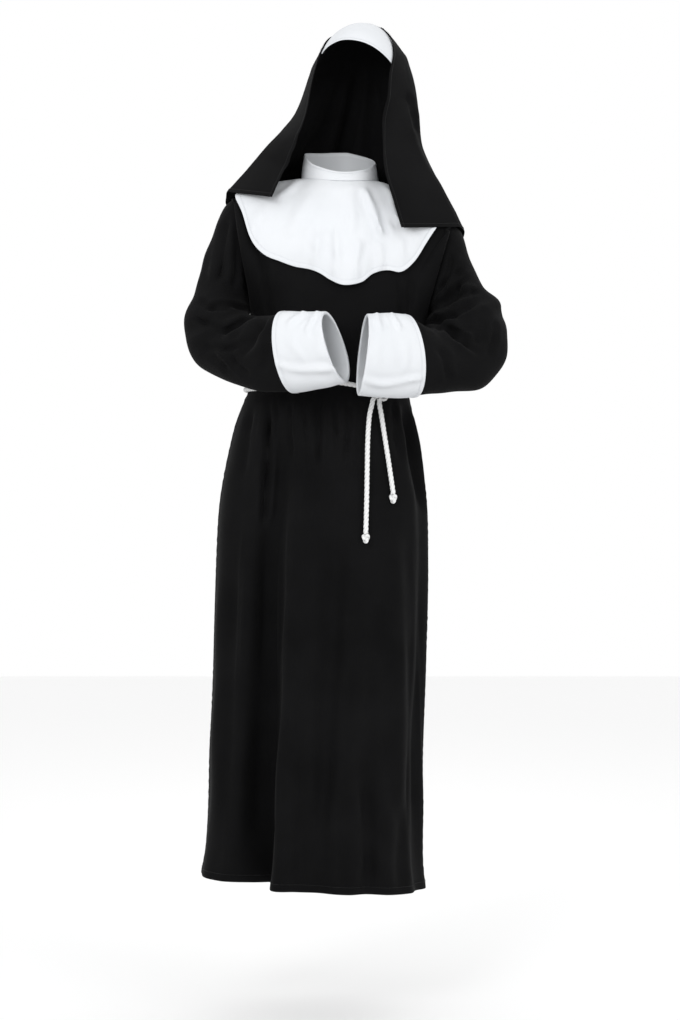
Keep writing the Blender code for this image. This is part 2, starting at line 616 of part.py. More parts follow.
def sleeve_normals(table, creases, steps=SLEEVE_STEPS):
    """Outward directions of a sleeve's rings, the same for the sleeve and for its cuff."""
    last, result = table[-1].step, []
    for step in steps:
        low, high = max(step - 0.25, 0), min(step + 0.25, last)
        before, here, after = sleeve_grid(table, creases, [low, (low + high) / 2, high])
        line = normals_of([before, here, after], True)[1]
        middle = sum(here, Vector()) / len(here)
        line = [(normal + (point - middle).normalized()).normalized() for normal, point in zip(line, here)]
        result.append([on_own_side(normal, table, False) for normal in line] if step == 0 else line)
    return result


def surface_tree(grids):
    """A search tree of outer surfaces, each a grid and whether it closes on itself.

    Every cell is split along both of its diagonals, so that either split is cleared.
    """
    points, faces = [], []
    for grid, closed in grids:
        start, columns = len(points), len(grid[0])
        points += [point for line in grid for point in line]
        for r in range(len(grid) - 1):
            for c in range(columns if closed else columns - 1):
                a, b = start + r * columns + c, start + r * columns + (c + 1) % columns
                faces += [(a, a + columns, b + columns), (a, b + columns, b)]
                faces += [(a, a + columns, b), (b, a + columns, b + columns)]
    return BVHTree.FromPolygons(points, faces)


def material(name, colour, roughness):
    made = bpy.data.materials.get(name) or bpy.data.materials.new(name)
    made.use_nodes = True
    shader = made.node_tree.nodes["Principled BSDF"]
    shader.inputs["Base Color"].default_value = (*colour, 1.0)
    shader.inputs["Roughness"].default_value = roughness
    shader.inputs["Metallic"].default_value = 0.0
    return made


def black_cloth():
    return material("black_cloth", (0.012, 0.012, 0.015), 0.85)


def white_cloth():
    return material("white_cloth", (0.80, 0.83, 0.86), 0.80)


def rope_cotton():
    return material("rope", (0.82, 0.83, 0.82), 0.85)


def add_mesh(name, points, faces, finish):
    mesh = bpy.data.meshes.new(name)
    mesh.from_pydata(points, [], faces)
    mesh.materials.append(finish)
    mesh.shade_smooth()
    mesh.set_sharp_from_angle(angle=math.radians(40))
    made = bpy.data.objects.new(name, mesh)
    bpy.context.collection.objects.link(made)
    return made


def add_sheet(name, grid, finish, closed=False, normals=None):
    """A wall of cloth: the grid is its outer face, and the inner face lies a thickness within."""
    rows, columns = len(grid), len(grid[0])
    inner = moved(grid, normals or normals_of(grid, closed), -CLOTH)
    points = [point for line in grid for point in line] + [point for line in inner for point in line]
    shift, faces = rows * columns, []
    for r in range(rows - 1):
        for c in range(columns if closed else columns - 1):
            a, b = r * columns + c, r * columns + (c + 1) % columns
            faces.append((a, a + columns, b + columns, b))
            faces.append((a + shift, b + shift, b + columns + shift, a + columns + shift))
    last = (rows - 1) * columns
    for c in range(columns if closed else columns - 1):
        d = (c + 1) % columns
        faces.append((c, d, d + shift, c + shift))
        faces.append((last + c, last + c + shift, last + d + shift, last + d))
    if not closed:
        for r in range(rows - 1):
            a, b = r * columns, (r + 1) * columns
            faces.append((a, a + shift, b + shift, b))
            a, b = a + columns - 1, b + columns - 1
            faces.append((a, b, b + shift, a + shift))
    return add_mesh(name, points, faces, finish)


def add_loop_wall(name, rings, finish):
    """A solid whose section is a closed outline: each ring is one corner of it, swept round."""
    rows, columns = len(rings), len(rings[0])
    points = [point for line in rings for point in line]
    faces = []
    for r in range(rows):
        for c in range(columns):
            a, b = r * columns, ((r + 1) % rows) * columns
            d = (c + 1) % columns
            faces.append((a + c, b + c, b + d, a + d))
    return add_mesh(name, points, faces, finish)


def add_rope(name, points, finish, cyclic=False):
    """A tube of the rope's size along a row of points."""
    curve = bpy.data.curves.new(name, "CURVE")
    curve.dimensions = "3D"
    curve.bevel_depth = ROPE / 2
    curve.bevel_resolution = 2
    curve.use_fill_caps = not cyclic
    spline = curve.splines.new("POLY")
    spline.points.add(len(points) - 1)
    for control, point in zip(spline.points, points):
        control.co = (*point, 1.0)
    spline.use_cyclic_u = cyclic
    curve.materials.append(finish)
    made = bpy.data.objects.new(name, curve)
    bpy.context.collection.objects.link(made)
    return made


def add_knot(name, centre, size, finish, turns=2, segments=14, rings=8):
    """A closed lump of rope with the grooves of its turns."""
    points, faces = [centre + Vector((0, 0, size.z))], []
    for r in range(1, rings):
        polar = math.pi * r / rings
        for c in range(segments):
            angle = 2 * math.pi * c / segments
            groove = 1 - 0.10 * (0.5 + 0.5 * math.cos(turns * 2 * math.pi * r / rings + angle))
            points.append(centre + Vector((size.x * math.sin(polar) * math.cos(angle),
                                           size.y * math.sin(polar) * math.sin(angle),
                                           size.z * math.cos(polar))) * groove)
    points.append(centre - Vector((0, 0, size.z)))
    foot = len(points) - 1
    for c in range(segments):
        d = (c + 1) % segments
        faces.append((0, 1 + c, 1 + d))
        for r in range(rings - 2):
            a = 1 + r * segments
            faces.append((a + c, a + segments + c, a + segments + d, a + d))
        a = 1 + (rings - 2) * segments
        faces.append((a + c, foot, a + d))
    return add_mesh(name, points, faces, finish)


# ---------------------------------------------------------------- the pieces
def make_robe():
    add_sheet("robe_front", panel_grid(FRONT), black_cloth(), normals=panel_normals(FRONT))
    add_sheet("robe_back", panel_grid(BACK), black_cloth(), normals=panel_normals(BACK))


def make_sleeves():
    for name, table, creases in (("right", RIGHT_SLEEVE, RIGHT_CREASES), ("left", LEFT_SLEEVE, LEFT_CREASES)):
        add_sheet("sleeve_" + name, sleeve_grid(table, creases), black_cloth(), closed=True,
                  normals=sleeve_normals(table, creases))


def make_cuff(name, table, creases):
    """A cuff that wraps the sleeve's end: up the outside to its hem, and a little way inside."""

    def layer(steps, distance):
        return moved(sleeve_grid(table, creases, steps), sleeve_normals(table, creases, steps), distance)

    over = layer(CUFF_STEPS + [CUFF_FOLD], SEAM + CLOTH)
    under = layer(CUFF_STEPS + [CUFF_FOLD_INSIDE], SEAM)
    inside_near = layer(CUFF_LINING_STEPS + [CUFF_FOLD_INSIDE], -CLOTH - SEAM)
    inside_far = layer(CUFF_LINING_STEPS + [CUFF_FOLD], -2 * CLOTH - SEAM)
    rings = over + inside_far[::-1] + inside_near + under[::-1]
    add_loop_wall(name, rings, white_cloth())


def make_collar(tree):
    grid = collar_grid(tree)
    add_sheet("cape_collar", grid, white_cloth(), closed=True)
    return grid


def make_neck_band():
    grid = []
    for height in (1.0, 0.5, 0.0):
        line = []
        for column in range(COLLAR_COLUMNS):
            degrees = -180 + 360 * column / COLLAR_COLUMNS
            row = read_table(NECK, degrees)
            low = row.robe_z + REST + 3 * SEAM
            line.append(neck_point(degrees, mix(low, row.band_z, height), 0.0028 - 0.006 * height))
        grid.append(line)
    add_sheet("neck_band", grid, white_cloth(), closed=True)


def make_headband():
    sides, ups = spread(-BAND_SIDE, BAND_SIDE, 20), spread(BAND_CROWN, BAND_FACE, 4)
    add_sheet("headband", [[head_point(side, up, BAND_REST) for side in sides] for up in ups], white_cloth(),
              normals=[[head_normal(side, up) for side in sides] for up in ups])


def make_veil(robe_tree, white_tree):
    grid = [line[::-1] for line in veil_grid(robe_tree, white_tree)]
    normals = []
    for step, line, outward in zip(VEIL_STEPS, grid, normals_of(grid, False)):
        away = [away_from_head(point) for point in line]
        normals.append([a.lerp(b, ease(step - 0.5)).normalized() for a, b in zip(away, outward)])
    add_sheet("veil", grid, black_cloth(), normals=normals)


def robe_front_at(x, z):
    """The robe's front surface at a place, found from its own section."""
    low, high = -1.0, 1.0
    for _ in range(40):
        middle = (low + high) / 2
        low, high = (middle, high) if body_point(FRONT, middle, z).x < x else (low, middle)
    return body_point(FRONT, low, z)


def rope_route(route):
    """Points along a hanging end, just in front of the robe."""
    rough = [Vector((x, robe_front_at(x, z).y - ROPE / 2 - 0.0060, z)) for x, z in route]
    steps = 15
    return [through(rough, i / steps) for i in range(steps + 1)]


def make_belt():
    around = []
    for face, places in ((FRONT, panel_places()), (BACK, panel_places()[::-1])):
        for place in places[1:]:
            here = body_point(face, place, BELT_HEIGHT)
            angle = place * math.pi / 2
            level = read_table(LEVELS, BELT_HEIGHT)
            depth = level.front if face == FRONT else level.back
            out = Vector((math.sin(angle) / level.half_width, face * math.cos(angle) / depth, 0)).normalized()
            around.append(here + out * (ROPE / 2 + 0.0007))
    add_rope("belt_loop", around, rope_cotton(), cyclic=True)
    front = robe_front_at(KNOT_PLACE, BELT_HEIGHT)
    knot = Vector((KNOT_PLACE, front.y - ROPE - KNOT_SIZE.y + 0.0009, KNOT_HEIGHT))
    add_knot("belt_knot", knot, KNOT_SIZE, rope_cotton())
    for name, route in (("long", LONG_END), ("short", SHORT_END)):
        points = rope_route(route)
        add_rope("belt_end_" + name, points, rope_cotton())
        tip = points[-1] - Vector((0, 0, TIP_SIZE.z + SEAM))
        add_knot("belt_tip_" + name, tip, TIP_SIZE, rope_cotton())


def main():
    for thing in list(bpy.data.objects):
        bpy.data.objects.remove(thing, do_unlink=True)
    make_robe()
    make_sleeves()
    make_cuff("cuff_right", RIGHT_SLEEVE, RIGHT_CREASES)
    make_cuff("cuff_left", LEFT_SLEEVE, LEFT_CREASES)
    robe = [(panel_grid(face, finer), False) for face in (FRONT, BACK) for finer in (1, 2)]
    sleeves = [(sleeve_grid(RIGHT_SLEEVE, RIGHT_CREASES), True), (sleeve_grid(LEFT_SLEEVE, LEFT_CREASES), True)]
    collar = make_collar(surface_tree(robe))
    make_neck_band()
    make_headband()
    make_veil(surface_tree(robe + sleeves), surface_tree([(collar, True)]))
    make_belt()


main()
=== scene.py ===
import math
from collections import namedtuple

import bpy
import numpy as np
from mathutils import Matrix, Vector
from mathutils.bvhtree import BVHTree


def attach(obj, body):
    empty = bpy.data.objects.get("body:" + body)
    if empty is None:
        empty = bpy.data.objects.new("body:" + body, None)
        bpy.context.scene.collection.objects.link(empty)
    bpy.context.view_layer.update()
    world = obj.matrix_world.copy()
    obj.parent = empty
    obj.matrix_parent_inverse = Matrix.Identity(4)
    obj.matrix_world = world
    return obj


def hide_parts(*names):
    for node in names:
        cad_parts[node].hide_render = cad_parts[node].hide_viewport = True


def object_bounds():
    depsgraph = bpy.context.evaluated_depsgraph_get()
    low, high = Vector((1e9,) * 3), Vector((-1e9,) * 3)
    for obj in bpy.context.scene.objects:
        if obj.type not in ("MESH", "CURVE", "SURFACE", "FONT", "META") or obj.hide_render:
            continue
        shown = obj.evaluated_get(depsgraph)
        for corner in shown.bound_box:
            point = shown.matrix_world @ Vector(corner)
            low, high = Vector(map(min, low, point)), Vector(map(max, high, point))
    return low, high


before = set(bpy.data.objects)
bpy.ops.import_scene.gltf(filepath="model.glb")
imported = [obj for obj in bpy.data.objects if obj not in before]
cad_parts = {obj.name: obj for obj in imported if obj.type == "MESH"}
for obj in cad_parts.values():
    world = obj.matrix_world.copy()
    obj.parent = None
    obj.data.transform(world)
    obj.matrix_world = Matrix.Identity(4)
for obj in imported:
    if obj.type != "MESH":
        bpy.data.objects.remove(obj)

for spare in ("Cube", "Light", "Camera"):                   # Blender's own start-up objects
    if spare in bpy.data.objects:
        bpy.data.objects.remove(bpy.data.objects[spare], do_unlink=True)
cadBox = [list(corner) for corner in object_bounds()]
print("nun habit: frame loaded")

# view and light; a point is the view's smallest step, in metres at the object's middle
view = {"target": (-0.0018, 0.0, -0.594), "distance": 4.5, "seen": 1.836, "sensor": 36, "point": 0.0018,
        "middle": (341, 510)}
light = {"key": (-1.0, -2.6, 0.75), "keySize": 1.1, "keyPower": 6.5, "keyAim": (0, 0, -0.15), "keySpread": 80,
         "fill": (2.0, -2.7, 0.4), "fillPower": 9, "fillSpread": 110, "rim": (0.6, 2.8, 2.2), "rimPower": 12,
         "softSize": 1.8, "sky": 1.0, "floor": (0.93, 0.93, 0.93), "floorRough": 0.9, "floorDrop": 0.22,
         "floorHalf": 9}


def makeCamera():
    data = bpy.data.cameras.new("camera")
    data.sensor_fit = "AUTO"
    data.sensor_width = view["sensor"]
    data.lens = view["sensor"] * view["distance"] / view["seen"]
    camera = bpy.data.objects.new("camera", data)
    camera.location = Vector(view["target"]) + Vector((0, -view["distance"], 0))
    camera.rotation_euler = (math.radians(90), 0, 0)
    bpy.context.scene.collection.objects.link(camera)
    bpy.context.scene.camera = camera


def makeLamp(name, place, size, power, aim=(0, 0, -0.5), spreadAngle=180):
    data = bpy.data.lights.new(name, "AREA")
    data.energy, data.size, data.spread = power, size, math.radians(spreadAngle)
    lamp = bpy.data.objects.new(name, data)
    lamp.location = place
    lamp.rotation_euler = (Vector(aim) - Vector(place)).to_track_quat("-Z", "Y").to_euler()
    bpy.context.scene.collection.objects.link(lamp)


def makeStudio():
    makeLamp("key", light["key"], light["keySize"], light["keyPower"], light["keyAim"], light["keySpread"])
    makeLamp("fill", light["fill"], light["softSize"], light["fillPower"], light["keyAim"], light["fillSpread"])
    makeLamp("rim", light["rim"], light["softSize"], light["rimPower"])
    world = bpy.data.worlds.new("studio")
    world.use_nodes = True
    background = world.node_tree.nodes["Background"]
    background.inputs["Color"].default_value = (1, 1, 1, 1)
    background.inputs["Strength"].default_value = light["sky"]
    bpy.context.scene.world = world
    bpy.context.scene.view_settings.view_transform = "Standard"
    floorMesh = bpy.data.meshes.new("floor")
    low, half = cadBox[0][2] - light["floorDrop"], light["floorHalf"]   # the habit hangs clear, as on a stand
    floorMesh.from_pydata([(-half, -half, low), (half, -half, low), (half, half, low), (-half, half, low)], [],
                          [(0, 1, 2, 3)])
    floor = bpy.data.objects.new("floor", floorMesh)
    bpy.context.scene.collection.objects.link(floor)
    paint, _, shader = openPaint("floor_paint", light["floorRough"])
    shader.inputs["Base Color"].default_value = (*light["floor"], 1)
    floorMesh.materials.append(paint)


# cloth finishes: each reads the piece's own UV map, which is in metres along the threads
blackWeave = {"colour": (0.0026, 0.0026, 0.0028), "worn": (0.0062, 0.0062, 0.0066), "thread": 0.0007,
              "bump": 0.25, "rough": 0.85, "sheen": 0.016, "shine": 0.055}
whiteWeave = {"colour": (0.610, 0.630, 0.655), "worn": (0.665, 0.680, 0.700), "thread": 0.0008,
              "bump": 0.30, "rough": 0.80, "sheen": 0.04, "shine": 0.25}
ropeCotton = {"colour": (0.800, 0.800, 0.795), "worn": (0.600, 0.605, 0.610), "bump": 0.35, "rough": 0.85,
              "bumpDepth": 0.0004, "fibre": 900, "spread": (0.30, 0.62)}
weaveWork = {"uneven": 0.6, "slub": 260, "patch": 9, "threadTone": 0.35, "spread": (0.30, 0.95),
             "sheenRough": 0.45, "bumpDepth": 0.0003}


def node(tree, kind, sources=None, **values):               # a node, its values set and its inputs linked
    made = tree.nodes.new(kind)
    for name, value in values.items():
        if name in made.inputs.keys():
            made.inputs[name].default_value = value
        else:
            setattr(made, name, value)
    for name, source in (sources or {}).items():
        tree.links.new(source, made.inputs[name])
    return made


def openPaint(name, rough):
    paint = bpy.data.materials.new(name)
    paint.use_nodes = True
    shader = paint.node_tree.nodes["Principled BSDF"]
    shader.inputs["Roughness"].default_value = rough
    return paint, paint.node_tree, shader


def toned(tree, shader, source, colours, places=(0, 1)):
    ramp = node(tree, "ShaderNodeValToRGB", {"Fac": source})
    for stop, colour, place in zip(ramp.color_ramp.elements, colours, places):
        stop.position, stop.color = place, (*colour, 1)
    tree.links.new(ramp.outputs["Color"], shader.inputs["Base Color"])


def raised(tree, shader, source, strength, distance):
    bump = node(tree, "ShaderNodeBump", {"Height": source}, Strength=strength, Distance=distance)
    tree.links.new(bump.outputs["Normal"], shader.inputs["Normal"])


def makeWeave(name, finish):
    paint, tree, shader = openPaint(name, finish["rough"])
    shader.inputs["Sheen Weight"].default_value = finish["sheen"]
    shader.inputs["Sheen Roughness"].default_value = weaveWork["sheenRough"]
    shader.inputs["Specular IOR Level"].default_value = finish["shine"]
    uv = node(tree, "ShaderNodeTexCoord").outputs["UV"]
    place = node(tree, "ShaderNodeTexCoord").outputs["Object"]
    threads = []
    for direction in ("X", "Y"):                            # warp and weft
        wave = node(tree, "ShaderNodeTexWave", {"Vector": uv}, wave_type="BANDS", bands_direction=direction,
                    Scale=math.tau / 20 / finish["thread"], Distortion=weaveWork["uneven"], Detail=1)
        threads.append(wave.outputs["Fac"])
    crossing = node(tree, "ShaderNodeMath", dict(enumerate(threads)), operation="MULTIPLY").outputs[0]
    slub = node(tree, "ShaderNodeTexNoise", {"Vector": uv}, Scale=weaveWork["slub"], Detail=3)  # uneven threads
    soft = node(tree, "ShaderNodeTexNoise", {"Vector": place}, Scale=weaveWork["patch"], Detail=4)
    tone = node(tree, "ShaderNodeMath", {0: crossing, 2: soft.outputs["Fac"]}, operation="MULTIPLY_ADD")
    tone.inputs[1].default_value = weaveWork["threadTone"]
    toned(tree, shader, tone.outputs[0], (finish["colour"], finish["worn"]), weaveWork["spread"])
    height = node(tree, "ShaderNodeMath", {0: crossing, 1: slub.outputs["Fac"]}, operation="ADD")
    raised(tree, shader, height.outputs[0], finish["bump"], weaveWork["bumpDepth"])
    return paint


def makeRopeCotton():
    paint, tree, shader = openPaint("rope_cotton", ropeCotton["rough"])
    place = node(tree, "ShaderNodeTexCoord").outputs["Object"]
    fibre = node(tree, "ShaderNodeTexNoise", {"Vector": place}, Scale=ropeCotton["fibre"],
                 Detail=4).outputs["Fac"]
    toned(tree, shader, fibre, (ropeCotton["worn"], ropeCotton["colour"]), ropeCotton["spread"])
    raised(tree, shader, fibre, ropeCotton["bump"], ropeCotton["bumpDepth"])
    return paint


makeCamera()
makeStudio()
blackCloth = makeWeave("black_weave", blackWeave)
whiteCloth = makeWeave("white_weave", whiteWeave)
rope = makeRopeCotton()
print("nun habit: camera, studio and cloth finishes made")

# sizes of the habit; a user changes them here
cloth = {"wall": 0.0015, "seam": 0.0004}                    # wall of the solids, gap at a seam
robe = {"hem": -1.262, "hemSlope": -0.07, "slopeTop": -0.600, "yokeFoot": -0.270, "armholeSteps": 8,
        "shoulderSteps": 3, "neckSteps": 8, "shoulderColumn": 0.48, "neckColumn": 0.27, "upperRows": 6}
robe["lowerRows"] = [-0.270, -0.330, -0.361, -0.378, -0.395, -0.450, -0.530, -0.640, -0.780, -0.940, -1.110,
                     robe["hem"]]
sleeves = {"sides": 16, "steps": [0, 0.5, 1, 2, 3, 4, 4.5, 5, 5.6, 6.3, 7, 7.7, 8.4, 9, 9.7, 10.4, 10.9]}
collar = {"rest": 0.0030, "reach": 0.030, "unmoved": 0.00001, "liftPasses": 8, "columns": 40, "rows": 6}
veil = {"restOnRobe": 0.0066, "restOnCollar": 0.0029, "overHead": 0.0038, "sideRight": math.radians(36),
        "sideLeft": math.radians(30), "columns": 36, "relaxings": 3,
        "steps": [0, 0.25, 0.5, 0.75, 1, 1.5, 2, 2.5, 3, 3.5, 4, 4.5, 5, 5.5, 6, 6.5, 7]}
headband = {"rest": 0.0010, "crown": math.radians(74), "face": math.radians(19), "side": math.radians(70)}
head = {"centre": Vector((0.034, 0.0, 0.170)), "halfWidth": 0.078, "halfLength": 0.098, "halfHeight": 0.115,
        "turn": math.radians(20), "tilt": math.radians(22)}
neck = {"centre": Vector((-0.002, 0.004)), "halfWidth": 0.0665, "halfDepth": 0.0630}
belt = {"rope": 0.0088, "height": -0.378, "rise": 0.0085, "riseAt": -0.018, "riseWidth": 0.075}
front, back = -1, 1

# Body of the robe: one row for each level.
Level = namedtuple("Level", "z centre halfWidth front back")
levels = [
    Level(-0.270, -0.003, 0.1605, 0.116, 0.098),
    Level(-0.330, -0.014, 0.1520, 0.111, 0.093),
    Level(-0.361, -0.021, 0.1490, 0.106, 0.089),
    Level(-0.378, -0.0225, 0.1440, 0.102, 0.085),
    Level(-0.395, -0.0240, 0.1485, 0.107, 0.090),
    Level(-0.450, -0.0290, 0.1640, 0.119, 0.103),
    Level(-0.560, -0.0310, 0.1845, 0.136, 0.122),
    Level(-0.660, -0.0330, 0.1905, 0.146, 0.130),
    Level(-0.850, -0.0375, 0.1915, 0.153, 0.136),
    Level(-1.030, -0.0440, 0.1920, 0.159, 0.142),
    Level(-1.210, -0.0475, 0.1955, 0.165, 0.147),
    Level(-1.262, -0.0490, 0.2020, 0.168, 0.150),
]

# Folds of the robe: place across the panel at the top and foot, heights, width, and depth outward.
Fold = namedtuple("Fold", "face topPlace footPlace top foot width topDepth footDepth")
folds = [
    Fold(front, -0.30, -0.42, -0.40, -1.40, 0.19, -0.008, -0.070),
    Fold(front, -0.28, -0.34, -0.45, -1.40, 0.13, -0.004, -0.036),
    Fold(front, -0.14, -0.20, -0.42, -1.40, 0.11, 0.004, 0.022),
    Fold(front, -0.70, -0.72, -0.42, -1.40, 0.20, 0.004, 0.012),
    Fold(front, -0.08, -0.06, -0.28, -0.62, 0.09, -0.004, -0.004),
    Fold(front, 0.06, 0.02, -0.45, -1.40, 0.13, -0.004, -0.012),
    Fold(front, 0.31, 0.33, -0.50, -1.40, 0.15, -0.003, -0.016),
    Fold(front, 0.78, 0.80, -0.40, -1.40, 0.16, -0.008, -0.010),
    Fold(front, 0.50, 0.48, -0.22, -0.38, 0.10, -0.006, -0.004),
    Fold(front, -0.52, -0.50, -0.22, -0.38, 0.10, -0.005, -0.004),
    Fold(back, -0.62, -0.66, -0.40, -1.40, 0.17, -0.006, -0.022),
    Fold(back, -0.22, -0.27, -0.40, -1.40, 0.17, -0.006, -0.030),
    Fold(back, 0.16, 0.14, -0.40, -1.40, 0.17, -0.006, -0.026),
    Fold(back, 0.56, 0.58, -0.40, -1.40, 0.17, -0.006, -0.020),
    Fold(back, 0.00, 0.00, -0.24, -0.42, 0.14, -0.006, -0.004),
]

# Sleeves: one row for each ring, from the armhole (0) to the sleeve's end.  The ring's two ends are
# on the inner line (armpit to wrist) and the outer line (shoulder to elbow to wrist).
Ring = namedtuple("Ring", "step innerX innerY innerZ outerX outerY outerZ halfDepth turn")
rightSleeve = [
    Ring(0, -0.162, 0.000, -0.195, -0.195, 0.000, -0.035, 0.058, 0),
    Ring(0.5, -0.1665, -0.002, -0.204, -0.2095, -0.001, -0.050, 0.0585, 1),
    Ring(1, -0.169, -0.006, -0.212, -0.2205, -0.004, -0.074, 0.058, 2),
    Ring(2, -0.1705, -0.022, -0.228, -0.2437, -0.018, -0.144, 0.057, 6),
    Ring(3, -0.1675, -0.043, -0.241, -0.2600, -0.035, -0.208, 0.055, 10),
    Ring(4, -0.1615, -0.063, -0.248, -0.2777, -0.050, -0.259, 0.054, 13),
    Ring(5, -0.151, -0.083, -0.252, -0.2700, -0.064, -0.300, 0.053, 17),
    Ring(6, -0.142, -0.100, -0.254, -0.2493, -0.085, -0.341, 0.052, 21),
    Ring(7, -0.130, -0.126, -0.254, -0.2042, -0.116, -0.367, 0.050, 25),
    Ring(8, -0.118, -0.148, -0.2535, -0.1450, -0.146, -0.387, 0.047, 28),
    Ring(9, -0.1030, -0.166, -0.253, -0.0850, -0.166, -0.388, 0.045, 29),
    Ring(10, -0.0650, -0.188, -0.2545, -0.0380, -0.188, -0.382, 0.043, 27),
    Ring(11, -0.0258, -0.208, -0.255, 0.0075, -0.208, -0.374, 0.042, 24),
]
leftSleeve = [
    Ring(0, 0.150, 0.000, -0.235, 0.200, 0.000, -0.080, 0.058, 0),
    Ring(0.5, 0.1535, -0.002, -0.241, 0.2125, -0.002, -0.092, 0.0585, 1),
    Ring(1, 0.157, -0.006, -0.246, 0.2215, -0.004, -0.110, 0.058, 2),
    Ring(2, 0.159, -0.019, -0.252, 0.2340, -0.012, -0.152, 0.057, 6),
    Ring(3, 0.159, -0.035, -0.257, 0.2530, -0.022, -0.194, 0.056, 10),
    Ring(4, 0.156, -0.051, -0.263, 0.2830, -0.035, -0.222, 0.055, 13),
    Ring(5, 0.151, -0.069, -0.268, 0.2925, -0.050, -0.272, 0.054, 17),
    Ring(6, 0.147, -0.090, -0.273, 0.2875, -0.068, -0.330, 0.053, 21),
    Ring(7, 0.134, -0.117, -0.269, 0.2490, -0.095, -0.379, 0.051, 25),
    Ring(8, 0.124, -0.142, -0.262, 0.1900, -0.128, -0.389, 0.048, 28),
    Ring(9, 0.1140, -0.160, -0.2585, 0.1300, -0.158, -0.395, 0.045, 28),
    Ring(10, 0.0800, -0.182, -0.2570, 0.0800, -0.184, -0.397, 0.043, 18),
    Ring(11, 0.0445, -0.206, -0.2590, 0.0300, -0.208, -0.396, 0.042, 10),
]

# Creases of the sleeves: place along and round (turns, 0 inner line, 0.25 front), reach, depth.
Crease = namedtuple("Crease", "step place steps width depth")
rightCreases = [
    Crease(2.0, 0.36, 1.2, 0.10, -0.006),
    Crease(4.4, 0.33, 0.7, 0.17, -0.007),
    Crease(5.6, 0.17, 0.8, 0.13, -0.008),
    Crease(7.2, 0.22, 0.8, 0.13, -0.005),
    Crease(4.6, 0.68, 0.8, 0.14, -0.006),
    Crease(6.6, 0.80, 0.9, 0.14, -0.006),
]
leftCreases = [
    Crease(2.2, 0.20, 1.3, 0.09, -0.007),
    Crease(3.4, 0.33, 0.8, 0.12, -0.006),
    Crease(4.5, 0.42, 0.5, 0.14, -0.006),
    Crease(5.6, 0.17, 0.8, 0.13, -0.008),
    Crease(4.6, 0.68, 0.8, 0.14, -0.006),
    Crease(6.6, 0.80, 0.9, 0.14, -0.006),
]

# Neck: height of the seam at the front, side and back, and of the standing band's top edge.
Neck = namedtuple("Neck", "degrees robeZ bandZ")
neckRows = [
    Neck(-180, 0.012, 0.058),
    Neck(-165, 0.0100, 0.0574),
    Neck(-90, 0.000, 0.047),
    Neck(-45, -0.006, 0.022),
    Neck(0, -0.012, 0.008),
    Neck(45, -0.009, 0.014),
    Neck(90, -0.004, 0.032),
    Neck(165, 0.0093, 0.0571),
    Neck(180, 0.012, 0.058),
]

# Hem of the cape collar: direction (0 front, 90 wearer's left), distance from the neck's axis,
# height, and how far a wave of the hem stands off the robe.
Hem = namedtuple("Hem", "degrees reach z wave")
collarHem = [
    Hem(-180, 0.110, -0.190, 0.004),
    Hem(-150, 0.126, -0.172, 0.001),
    Hem(-120, 0.166, -0.115, 0.004),
    Hem(-90, 0.186, -0.030, 0.001),
    Hem(-74, 0.187, -0.068, 0.002),
    Hem(-59, 0.178, -0.132, 0.010),
    Hem(-40, 0.152, -0.160, 0.002),
    Hem(-20, 0.124, -0.176, 0.001),
    Hem(-8, 0.121, -0.192, 0.006),
    Hem(3, 0.121, -0.201, 0.012),
    Hem(18, 0.127, -0.193, 0.007),
    Hem(26, 0.134, -0.179, 0.001),
    Hem(37, 0.146, -0.170, 0.004),
    Hem(46, 0.156, -0.173, 0.011),
    Hem(58, 0.169, -0.140, 0.006),
    Hem(68, 0.176, -0.100, 0.002),
    Hem(90, 0.188, -0.076, 0.001),
    Hem(120, 0.166, -0.130, 0.004),
    Hem(150, 0.126, -0.175, 0.001),
    Hem(180, 0.110, -0.190, 0.004),
]

